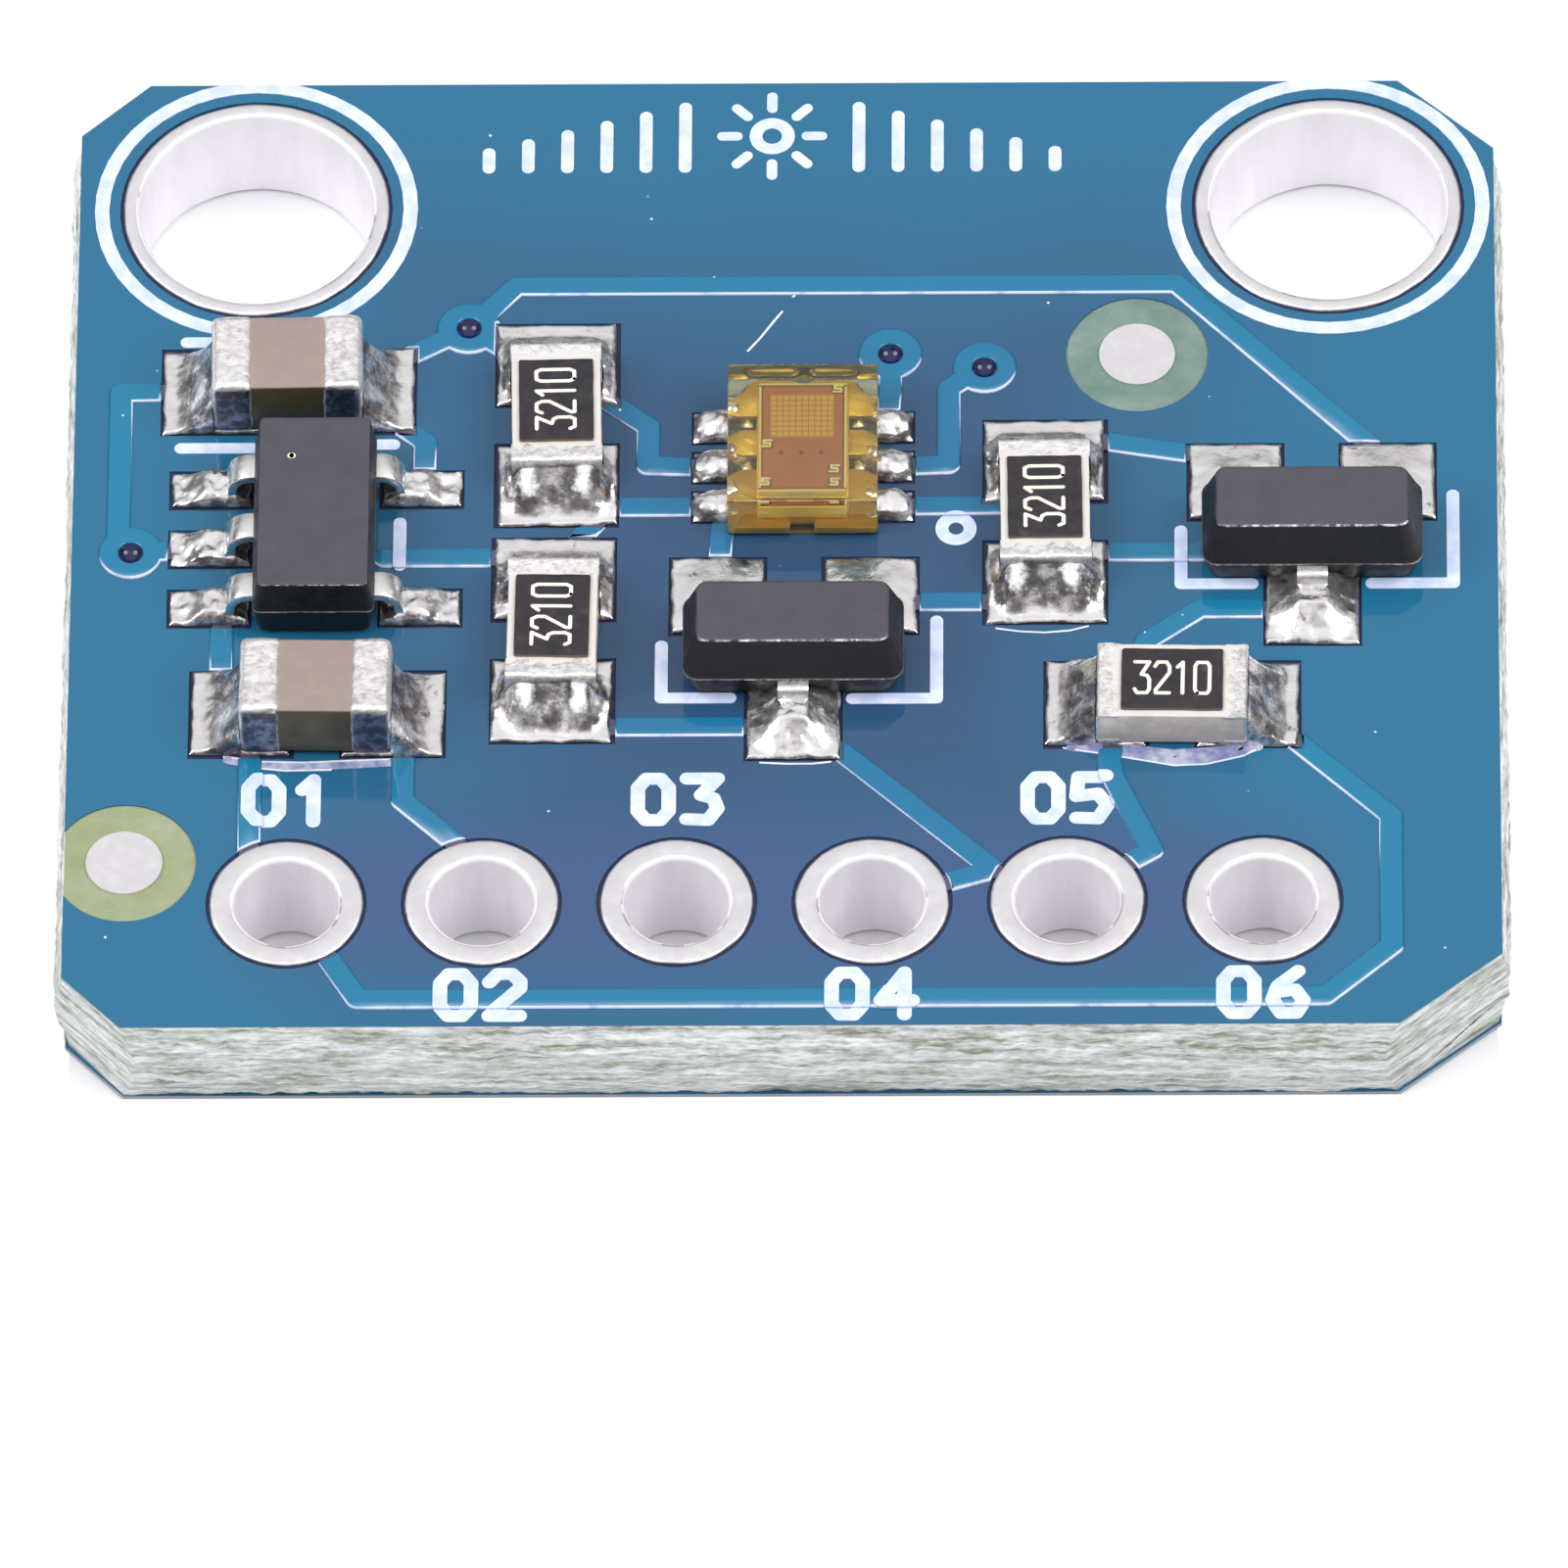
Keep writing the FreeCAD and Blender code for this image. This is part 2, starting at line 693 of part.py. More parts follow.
legend = []
ink_line = size("ink_line").value
number_line = size("ink_number_line").value
number_high = size("ink_number_high").value - number_line
ink_ring_outer, ink_ring_inner = size("ink_ring_outer").value, size("ink_ring_inner").value
for side in ("left", "right"):
    legend.append(ring_face(values(f"mount_{side}"), ink_ring_outer, ink_ring_inner))
corner_marks = {
    "transistor_1": [
        [(-1.73, 0.21), (-1.73, -0.64), (-0.83, -0.64)],
        [(1.87, 0.60), (1.87, -0.66), (0.77, -0.66)],
    ],
    "transistor_2": [
        [(-1.72, 0.22), (-1.72, -0.65), (-0.79, -0.65)],
        [(1.85, 0.79), (1.85, -0.65), (0.78, -0.65)],
    ],
    "regulator": [
        [(1.10, -0.28), (1.10, 0.42)],
    ],
    "capacitor_1": [
        [(-1.36, 0.82), (-1.01, 0.82)],
        [(-1.41, -0.93), (-0.46, -0.93)],
        [(1.14, -0.88), (1.39, -0.88)],
    ],
}
for name, marks in corner_marks.items():
    for mark in marks:
        legend += stroke_faces(shifted(mark, values(name)), ink_line)
small_ring_middle = (values("sensor")[0] + 2.01, values("sensor")[1] - 1.02)
small_ring_outer, small_ring_inner = 0.27, 0.10
legend.append(ring_face(small_ring_middle, small_ring_outer, small_ring_inner))
digit_step = 0.95
for number in range(1, 7):
    x, y = values(f"terminal_{number}")
    rise = size("ink_number_behind").value if number % 2 else -size("ink_number_before").value
    label_wide = (digit_step + numeral_wide) * number_high
    for spot, digit in enumerate(f"0{number}"):
        corner = (x - label_wide / 2 + spot * digit_step * number_high, y + rise + number_line / 2)
        legend += stroke_faces(shifted(numerals[digit], corner, number_high), number_line)

# The sun: a ring and eight rays, with ticks that grow towards it on both sides
sun_x, sun_y = -0.20, 6.82
sun_ring, ray_near, ray_far, ray_line, ray_count = 0.30, 0.46, 0.66, 0.14, 8
legend.append(ring_face((sun_x, sun_y), sun_ring, sun_ring - ink_line))
for ray in range(ray_count):
    angle = 2 * math.pi * ray / ray_count
    along_x, along_y = math.cos(angle), math.sin(angle)
    ends = [(sun_x + reach * along_x, sun_y + reach * along_y) for reach in (ray_near, ray_far)]
    legend += stroke_faces(ends, ray_line)
tick_first, tick_step, tick_count, tick_tall, tick_short, tick_drop = 1.15, 0.52, 6, 1.00, 0.25, 0.52
for sign in (-1, 1):
    for tick in range(tick_count):
        high = tick_tall - (tick_tall - tick_short) * tick / (tick_count - 1)
        x = sun_x + sign * (tick_first + tick_step * tick)
        low_y = sun_y - tick_drop
        legend += stroke_faces([(x, low_y), (x, low_y + high)], ink_line)

ink_thick = size("ink_thick")
ink_side = ink_thick.value
ink_flat = raised("ink_flat", legend, mask_top, ink_thick)
ink_tall = raised("ink_tall", legend, mask_top, ridge_top - mask_top + ink_thick)
ink_over = raised("ink_over", track_faces(track_wide + 2 * (mask_side + ink_side)), mask_top,
                  ridge_top - mask_top + ink_thick)
ink_blank = joined("ink_blank", [ink_flat, common("ink_ridges", [ink_tall, ink_over])])
ink_field = layer("ink_field", face_long, face_wide, laminate_top, laminate_top)
ink_whole = common("ink_whole", [ink_blank, ink_field])
finish(cut("ink", ink_whole, [top_mask, top_copper] + openings), "printed_legend")


# Chip resistors and capacitors: a ceramic block between two metal end caps
def round_edges(body, radius):
    document.recompute()
    block = body.Tip
    feature = body.newObject("PartDesign::Fillet", f"{body.Name}_round")
    feature.Base = (block, [f"Edge{index + 1}" for index in range(len(block.Shape.Edges))])
    bind(feature, Radius=radius)
    return feature


def chip(name, kind):
    x, pad_y = anchors[name]
    y = pad_y - size("chip_forward")
    turn = size(f"{name}_turn")
    number = name.split("_")[1]
    high, cap_long, skin = size(f"{kind}_high"), size(f"{kind}_cap_long"), size("cap_thick")
    long, wide = size("chip_long"), size(f"{kind}_wide")
    blank = centred_block(f"{name}_blank", long, wide, high)
    round_edges(blank, size("chip_round"))
    place(blank, x, y, seat, turn)
    window = centred_block(f"{name}_window", long - cap_long * 2, wide * 2, high * 2)
    place(window, x, y, seat - high / 2, turn)
    core = centred_block(f"{name}_core", long - skin * 2, wide - skin * 2, high - skin * 2)
    finish(place(core, x, y, seat + skin, turn), f"{kind}_body_{number}")
    finish(cut(f"{name}_caps", blank, [window, core]), f"{kind}_end_caps_{number}")
    if kind == "resistor":
        coat_long, coat_wide, coat_thick = (size(f"overcoat_{part}") for part in ("long", "wide", "thick"))
        overcoat = centred_block(f"{name}_coat", coat_long, coat_wide, coat_thick)
        finish(place(overcoat, x, y, seat + high - skin, turn), f"resistor_overcoat_{number}")
    upright = pads[name][0][1][0].value > pads[name][0][1][1].value
    climb = size(f"solder_climb_{kind}")
    grow = size("solder_skin")
    lumps = []
    for end, (middle, extent) in zip((-1, 1), pads[name]):
        base = spread(middle, extent, zero)
        centre = (long - cap_long) / 2
        if upright:
            top = spread((x, y + centre * end), (wide, cap_long), grow)
        else:
            top = spread((x + centre * end, y), (cap_long, wide), grow)
        lumps.append(mound(f"{name}_lump_{end + 2}", base, top, copper_top, climb))
    finish(cut(f"{name}_solder", grouped(f"{name}_lumps", lumps), [blank]), f"{kind}_solder_{number}")


# The (low x, high x, low y, high y) of a rectangle about its middle, grown all round
def spread(middle, extent, grow):
    x, y = extent[0] / 2 + grow, extent[1] / 2 + grow
    return (middle[0] - x, middle[0] + x, middle[1] - y, middle[1] + y)


for number in range(1, 5):
    chip(f"resistor_{number}", "resistor")
for number in range(1, 3):
    chip(f"capacitor_{number}", "capacitor")


# Moulded packages: a body with draft both ways from its parting line, held on bent leads
def moulded_body(name, long, wide, high, parting, draft):
    body = new_body(f"{name}_mould")
    upper = new_sketch(body, level=parting)
    draw_rectangle(upper, long, wide)
    pad(body, upper, high - parting, taper=slope(draft, high - parting))
    lower = new_sketch(body, level=parting)
    draw_rectangle(lower, long, wide)
    lower_high = parting - size("mould_lift")
    pad(body, lower, lower_high, taper=slope(size("mould_draft_under"), lower_high), down=True)
    return body


# One lead: a flat foot, a steep riser and a shoulder that runs into the body
def bent_lead(name, span, body_long, shoulder):
    thick = size("lead_thick")
    toe = span / 2
    heel = toe - size("lead_foot")
    knee = heel - size("lead_run")
    root = body_long / 2 - size("lead_hold")
    low = shoulder - thick / 2
    body = new_body(name)
    sketch = new_sketch(body, "XZ_Plane")
    draw_polygon(sketch, [
        (toe, zero), (toe, thick), (heel + thick, thick), (knee + thick, low + thick),
        (root, low + thick), (root, low), (knee, low), (heel, zero),
    ])
    lead = pad(body, sketch, size("lead_wide"), midplane=True)
    document.recompute()
    bends = []
    outer_corners = ((knee + thick, low + thick), (heel, zero))
    for index, edge in enumerate(lead.Shape.Edges, 1):
        middle = edge.CenterOfMass
        across = abs(edge.Vertexes[0].Y - edge.Vertexes[-1].Y) > size("lead_wide").value / 2
        if across and any(abs(middle.x - corner_x.value) + abs(middle.z - corner_z.value) < 1e-4
                          for corner_x, corner_z in outer_corners):
            bends.append(f"Edge{index}")
    bend = body.newObject("PartDesign::Fillet", f"{name}_bend")
    bend.Base = (lead, bends)
    bind(bend, Radius=size("lead_bend"))
    return body


# Leads stand around a package; each is turned to its side and moved along it
def package(name, number, kind, lead_places, turns):
    x, y = anchors[name]
    long, wide, high = (size(f"{kind}_{part}") for part in ("long", "wide", "high"))
    shoulder = size(f"{kind}_shoulder")
    leads = []
    for count, ((dx, dy), turn) in enumerate(zip(lead_places, turns), 1):
        lead = bent_lead(f"{name}_lead_{count}", size(f"{kind}_span"), long, shoulder)
        leads.append(place(lead, x + dx, y + dy, seat, Size(repr(turn), turn)))
    lead_group = grouped(f"{name}_leads", leads)
    finish(lead_group, f"{kind}_leads{number}")
    mould = moulded_body(name, long, wide, high, shoulder, size(f"{kind}_draft"))
    return mould, lead_group


# Solder under and around each foot: the pad's outline below, the foot's above
def lead_solder(name, kind, number, lead_group, seated, across_x):
    foot, span, grow = size("lead_foot"), size(f"{kind}_span"), size("solder_skin")
    x, y = anchors[name]
    lumps = []
    for count, (middle, extent) in enumerate(pads[name], 1):
        reach = (span - foot) / 2
        if across_x:
            side = 1 if middle[0].value > x.value else -1
            top = spread((x + reach * side, middle[1]), (foot, size("lead_wide")), grow)
        else:
            side = 1 if middle[1].value > y.value else -1
            top = spread((middle[0], y + reach * side), (size("lead_wide"), foot), grow)
        lumps.append(mound(f"{name}_lump_{count}", spread(middle, extent, zero), top, copper_top,
                           size("solder_climb_lead")))
    solder = cut(f"{name}_solder", grouped(f"{name}_lumps", lumps), [lead_group] + seated)
    finish(solder, f"{kind}_solder{number}")


pitch = size("regulator_pitch")
regulator_places = [(zero, pitch * step) for side, step in regulator_leads]
regulator_turns = [180.0 if side < 0 else 0.0 for side, step in regulator_leads]
mould, leads = package("regulator", "", "regulator", regulator_places, regulator_turns)
dot_sketch = new_sketch(mould, level=size("regulator_high"))
dot_edge = size("regulator_draft") + size("regulator_dot_radius") * 2
draw_circle(dot_sketch, (dot_edge - size("regulator_long") / 2, size("regulator_wide") / 2 - dot_edge),
            size("regulator_dot_radius"))
dot = mould.newObject("PartDesign::Pocket", "regulator_dot")
dot.Profile = dot_sketch
bind(dot, Length=size("regulator_dot_depth"))
place(mould, *anchors["regulator"], seat)
finish(cut("regulator_case", mould, [leads]), "regulator_body")
lead_solder("regulator", "regulator", "", leads, [mould], across_x=True)

pitch = size("transistor_pitch")
transistor_places = [(pitch * step, zero) for step, side in transistor_leads]
transistor_turns = [90.0 if side > 0 else -90.0 for step, side in transistor_leads]
for number in (1, 2):
    name = f"transistor_{number}"
    mould, leads = package(name, f"_{number}", "transistor", transistor_places, transistor_turns)
    quarter_turn = Size("90", 90.0)
    place(mould, *anchors[name], seat, quarter_turn)
    finish(cut(f"{name}_case", mould, [leads]), f"transistor_body_{number}")
    lead_solder(name, "transistor", f"_{number}", leads, [mould], across_x=False)

# Light sensor: a clear block over six fingers, a paddle and the die
x, y = anchors["sensor"]
sensor_long, sensor_wide, sensor_high = (size(f"sensor_{part}") for part in ("long", "wide", "high"))
finger_long, finger_wide = size("finger_long"), size("finger_wide")
frame_thick, pitch = size("frame_thick"), size("sensor_pitch")
package_block = place(centred_block("sensor_block", sensor_long, sensor_wide, sensor_high), x, y, seat)
frame_pieces = []
for side, step in sensor_fingers:
    neck = sensor_long / 2 - finger_long + finger_wide / 2
    spot = (x + neck * side, y + pitch * step)
    tag = f"{side + 2}_{step + 2}"
    tip = cylinder(f"finger_tip_{tag}", spot, finger_wide / 2, seat, frame_thick)
    low_x = spot[0] if side > 0 else x - sensor_long / 2
    shank = box(f"finger_shank_{tag}", (low_x, spot[1] - finger_wide / 2, seat),
                (sensor_long / 2 - neck, finger_wide, frame_thick))
    frame_pieces.append(joined(f"finger_{tag}", [tip, shank]))
paddle = centred_block("paddle", size("paddle_long"), size("paddle_wide"), frame_thick)
frame_pieces.append(place(paddle, x, y + size("die_back"), seat))
lead_frame = finish(grouped("sensor_frame", frame_pieces), "sensor_lead_frame")
die_block = centred_block("die_block", size("die_long"), size("die_wide"), size("die_thick"))
die = finish(place(die_block, x, y + size("die_back"), seat + frame_thick), "sensor_die")

clear_block = package_block
for held, piece in (("frame", lead_frame), ("die", die)):
    clear_block = cut(f"clear_around_{held}", clear_block, [piece])
finish(clear_block, "sensor_package")
lumps = []
for count, (middle, extent) in enumerate(pads["sensor"], 1):
    side = 1 if middle[0].value > x.value else -1
    top = spread((x + (sensor_long / 2) * side, middle[1]), (size("solder_skin") * 4, finger_wide), zero)
    lumps.append(mound(f"sensor_lump_{count}", spread(middle, extent, zero), top, copper_top,
                       size("solder_climb_sensor")))
finish(cut("sensor_joints", grouped("sensor_lumps", lumps), [package_block]), "sensor_solder")

document.recompute()
for item in document.Objects:
    if "Invalid" in item.State or "Error" in item.State:
        raise RuntimeError(f"{item.Label} did not build: {item.getStatusString()}")
os.makedirs("parts", exist_ok=True)
for item in nodes:
    if item.Shape.isNull() or not item.Shape.isValid() or not item.Shape.Solids:
        raise RuntimeError(f"{item.Label} has no valid shape")
    item.Shape.exportStep(f"parts/{item.Label}.step")
    print(item.Label, len(item.Shape.Solids), "solids", round(item.Shape.Volume, 4), "mm3")
print(len(nodes), "sub-parts")
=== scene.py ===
import math

import bmesh
import bpy
from mathutils import Matrix, Vector, noise


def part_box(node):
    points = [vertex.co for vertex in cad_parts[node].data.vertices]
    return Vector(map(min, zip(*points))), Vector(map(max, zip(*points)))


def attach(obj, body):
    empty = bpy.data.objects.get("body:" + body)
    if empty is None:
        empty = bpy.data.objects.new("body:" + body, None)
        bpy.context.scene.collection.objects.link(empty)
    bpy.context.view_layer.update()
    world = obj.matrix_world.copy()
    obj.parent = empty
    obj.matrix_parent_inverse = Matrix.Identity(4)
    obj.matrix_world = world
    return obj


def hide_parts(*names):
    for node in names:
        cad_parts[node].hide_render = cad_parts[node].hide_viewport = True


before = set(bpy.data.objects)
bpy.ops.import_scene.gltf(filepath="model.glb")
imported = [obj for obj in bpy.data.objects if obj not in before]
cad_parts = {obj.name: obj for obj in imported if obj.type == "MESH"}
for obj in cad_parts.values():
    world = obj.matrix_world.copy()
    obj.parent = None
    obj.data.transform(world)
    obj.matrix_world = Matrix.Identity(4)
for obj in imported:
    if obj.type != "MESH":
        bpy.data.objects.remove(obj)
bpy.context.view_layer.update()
scene = bpy.context.scene
print("frame loaded with", len(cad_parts), "nodes")

# Pieces are drawn in millimetres and scaled to metres once, when each is made
mm = 0.001

levels = {"laminateTop": 1.575, "copperTop": 1.610, "ridgeTop": 1.635, "seat": 1.650}

resistors = {
    "1": {"middle": (-3.00, 2.03), "turn": 91.0, "padWide": 1.53},
    "2": {"middle": (-3.02, -1.50), "turn": 89.2, "padWide": 1.53},
    "3": {"middle": (3.42, 0.41), "turn": 90.8, "padWide": 1.53},
    "4": {"middle": (5.08, -2.58), "turn": -1.0, "padWide": 1.31},
}

capacitors = {
    "1": {"middle": (-6.54, 2.60), "turn": 0.8, "padWide": 1.31},
    "2": {"middle": (-6.09, -2.69), "turn": -0.8, "padWide": 1.31},
}

transistors = {"1": (0.13, -1.81), "2": (6.92, 0.03)}

chipForward = 0.07
regulatorMiddle = (-6.15, 0.01)
sensorMiddle = (0.24, 1.32)
dots = {"left": (-8.57, -5.08), "right": (4.63, 3.17)}


# Shapes
def slide(shape, vec, verts=None):
    bmesh.ops.translate(shape, vec=vec, verts=verts or shape.verts[:])


def turned(shape, degrees):
    matrix = Matrix.Rotation(math.radians(degrees), 3, "Z")
    bmesh.ops.rotate(shape, cent=(0, 0, 0), matrix=matrix, verts=shape.verts[:])


def block(shape, size, middle):
    verts = bmesh.ops.create_cube(shape, size=1.0)["verts"]
    bmesh.ops.scale(shape, vec=size, verts=verts)
    slide(shape, middle, verts)
    return verts


def rounded(shape, edges, offset, segments, clamp=True):
    bmesh.ops.bevel(shape, geom=edges, offset=offset, segments=segments, profile=0.5, affect="EDGES",
                    material=-1, clamp_overlap=clamp)


def uprightEdges(shape):
    return [edge for edge in shape.edges if edge.verts[0].co.z != edge.verts[1].co.z]


def rimEdges(shape, level):
    return [edge for edge in shape.edges if all(vert.co.z > level - 0.001 for vert in edge.verts)
            and edge.calc_face_angle(0.0) > 0.5]


def onlyVerts(items):
    return [item for item in items if isinstance(item, bmesh.types.BMVert)]


def sliced(shape, axis, positions):
    normal = [0, 0, 0]
    normal[axis] = 1
    for position in positions:
        point = [0, 0, 0]
        point[axis] = position
        geom = shape.verts[:] + shape.edges[:] + shape.faces[:]
        bmesh.ops.bisect_plane(shape, geom=geom, dist=1e-5, plane_co=point, plane_no=normal)


def evenly(low, high, count):
    return [low + (high - low) * step / (count + 1) for step in range(1, count + 1)]


def roughened(shape, amount, grain, seed):
    shape.normal_update()
    for vert in shape.verts:
        wave = noise.fractal(vert.co * grain + Vector((seed, seed, seed)), 1.0, 2.0, 3)
        vert.co += vert.normal * wave * amount


def smoothStep(low, high, value):
    share = min(max((value - low) / (high - low), 0.0), 1.0)
    return share * share * (3 - 2 * share)


def copyInto(part, shape):
    mesh = bpy.data.meshes.new("joined")
    part.to_mesh(mesh)
    part.free()
    shape.from_mesh(mesh)
    bpy.data.meshes.remove(mesh)


# A flat stroke of constant width through the points, with round ends and corners. Its parts differ a
# little in height, so that no two faces lie in one plane.
penShape = {"step": 0.0004, "endRise": 0.002, "segments": 10}


def penStroke(shape, points, width, high):
    look = penShape
    for index, (start, end) in enumerate(zip(points, points[1:])):
        along = Vector(end) - Vector(start)
        middle = (Vector(end) + Vector(start)) / 2
        part = bmesh.new()
        rise = high + index % 4 * look["step"]
        block(part, (along.length, width, rise), (0, 0, rise / 2))
        turned(part, math.degrees(math.atan2(along.y, along.x)))
        slide(part, (*middle, 0))
        copyInto(part, shape)
    half, rise = width / 2, high + look["endRise"]
    for point in points:
        part = bmesh.new()
        bmesh.ops.create_cone(
            part, cap_ends=True, segments=look["segments"], radius1=half, radius2=half, depth=rise)
        slide(part, (*point, rise / 2))
        copyInto(part, shape)


# A bent metal strip: an edge across the width is drawn along the path, then given its thickness
def ribbon(shape, path, width, thick):
    ends = [shape.verts.new((path[0][0], side * width / 2, path[0][1])) for side in (-1, 1)]
    edge = shape.edges.new(ends)
    faces = []
    for before, point in zip(path, path[1:]):
        step = bmesh.ops.extrude_edge_only(shape, edges=[edge])["geom"]
        edge = next(item for item in step if isinstance(item, bmesh.types.BMEdge))
        slide(shape, (point[0] - before[0], 0, point[1] - before[1]), onlyVerts(step))
        faces += [item for item in step if isinstance(item, bmesh.types.BMFace)]
    bmesh.ops.solidify(shape, geom=faces, thickness=thick)


def spun(shape, profile, steps):
    verts = [shape.verts.new((radius, 0, height)) for radius, height in profile]
    edges = [shape.edges.new((verts[index - 1], vert)) for index, vert in enumerate(verts)]
    bmesh.ops.spin(shape, geom=verts + edges, cent=(0, 0, 0), axis=(0, 0, 1), dvec=(0, 0, 0),
                   angle=2 * math.pi, steps=steps, use_merge=True, use_duplicate=False)


def arc(middle, radius, start, end, count):
    turns = [math.radians(start + (end - start) * step / count) for step in range(count + 1)]
    return [(middle[0] + radius * math.cos(turn), middle[1] + radius * math.sin(turn)) for turn in turns]


def makePiece(name, shape, looks, replaced, sharp, levelFlat=False):
    bmesh.ops.recalc_face_normals(shape, faces=shape.faces[:])
    shape.normal_update()
    for face in shape.faces:
        face.smooth = not (levelFlat and abs(face.normal.z) > 0.9999)
    bmesh.ops.scale(shape, vec=(mm, mm, mm), verts=shape.verts[:])
    mesh = bpy.data.meshes.new(name)
    shape.to_mesh(mesh)
    shape.free()
    stale = mesh.attributes.get("custom_normal")
    if stale:
        mesh.attributes.remove(stale)
    mesh.set_sharp_from_angle(angle=math.radians(sharp))
    for key in looks:
        mesh.materials.append(surfaces[key])
    piece = bpy.data.objects.new(name, mesh)
    scene.collection.objects.link(piece)
    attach(piece, "root")
    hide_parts(*replaced)


# The frame's own pieces, in millimetres
def ownMesh(node, merge):
    shape = bmesh.new()
    shape.from_mesh(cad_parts[node].data)
    bmesh.ops.scale(shape, vec=(1000, 1000, 1000), verts=shape.verts[:])
    bmesh.ops.remove_doubles(shape, verts=shape.verts[:], dist=merge)
    return shape


def ownBox(node):
    return [Vector(corner) * 1000 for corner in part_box(node)]


def ownMiddle(node):
    low, high = ownBox(node)
    return ((low.x + high.x) / 2, (low.y + high.y) / 2)


# Materials: colours are given as they would be seen, from 0 to 255, and turned linear here
def tint(red, green, blue):
    shares = [value / 255 for value in (red, green, blue)]
    linear = [s / 12.92 if s <= 0.04045 else ((s + 0.055) / 1.055) ** 2.4 for s in shares]
    return (*linear, 1.0)


def setStops(node, stops):
    points = node.color_ramp.elements
    while len(points) < len(stops):
        points.new(0.5)
    for point, (position, colour) in zip(points, stops):
        point.position = position
        point.color = colour


class Surface:
    def __init__(self, name, **fixed):
        self.material = bpy.data.materials.new(name)
        self.material.use_nodes = True
        self.tree = self.material.node_tree
        self.shader = self.tree.nodes["Principled BSDF"]
        where = self.add("TexCoord").outputs["Object"]
        self.place = self.add("VectorMath", {0: where, "Scale": 1000.0}, operation="SCALE").outputs[0]
        for socket, value in fixed.items():
            self.shader.inputs[socket.replace("_", " ")].default_value = value

    def add(self, kind, links=None, **settings):
        made = self.tree.nodes.new("ShaderNode" + kind)
        for key, value in settings.items():
            setattr(made, key, value)
        for socket, value in (links or {}).items():
            if isinstance(value, bpy.types.NodeSocket):
                self.tree.links.new(value, made.inputs[socket])
            else:
                made.inputs[socket].default_value = value
        return made

    def math(self, operation, *values):
        return self.add("Math", dict(enumerate(values)), operation=operation).outputs[0]

    def times(self, first, second):
        return self.math("MULTIPLY", first, second)

    def minus(self, first, second):
        return self.math("SUBTRACT", first, second)

    def size(self, value):
        return self.math("ABSOLUTE", value)

    def away(self, point, where=None):
        links = {0: where or self.place, 1: point}
        return self.add("VectorMath", links, operation="DISTANCE").outputs["Value"]

    def axes(self):
        return self.add("SeparateXYZ", {0: self.place}).outputs

    def facing(self):
        return self.add("SeparateXYZ", {0: self.add("NewGeometry").outputs["Normal"]}).outputs

    def stretched(self, scale):
        return self.add("VectorMath", {0: self.place, 1: scale}, operation="MULTIPLY").outputs[0]

    def cloud(self, scale, detail=4.0, roughness=0.55, stretch=None):
        where = self.stretched(stretch) if stretch else self.place
        links = {"Vector": where, "Scale": scale, "Detail": detail, "Roughness": roughness}
        return self.add("TexNoise", links).outputs[0]

    def cells(self, scale):
        return self.add("TexVoronoi", {"Vector": self.place, "Scale": scale}).outputs

    def spread(self, value, low, high, start=0.0, end=1.0):
        links = {"Value": value, "From Min": low, "From Max": high, "To Min": start, "To Max": end}
        return self.add("MapRange", links, interpolation_type="SMOOTHSTEP").outputs[0]

    def blend(self, share, first, second):
        return self.add("Mix", {0: share, 6: first, 7: second}, data_type="RGBA").outputs[2]

    def ramp(self, value, stops):
        made = self.add("ValToRGB", {0: value})
        setStops(made, stops)
        return made.outputs[0]

    def bump(self, height, strength, distance):
        links = {"Height": height, "Strength": strength, "Distance": distance * mm}
        if self.shader.inputs["Normal"].links:
            links["Normal"] = self.shader.inputs["Normal"].links[0].from_socket
        self.wire("Normal", self.add("Bump", links).outputs[0])

    def wire(self, socket, value):
        self.tree.links.new(value, self.shader.inputs[socket])


# Solder mask: dark blue in the middle, greener to the edges as a painted reflection of the bright sky,
# and pale painted highlights, broken up by noise, where its crests over the tracks face the front
maskLook = {
    "middle": tint(42, 74, 108),
    "edge": tint(30, 100, 135),
    "row": tint(58, 79, 122),
    "ridgeMiddle": tint(26, 105, 145),
    "ridgeEdge": tint(22, 114, 150),
    "crest": tint(206, 214, 238),
    "side": tint(150, 150, 156),
    "speck": tint(214, 222, 232),
    "fade": (2.5, 9.0),
    "rowMiddle": -5.7,
    "viaClear": (0.26, 0.28),
    "speckSize": 0.030,
    "speckGrains": (1.15, 2.3),
}


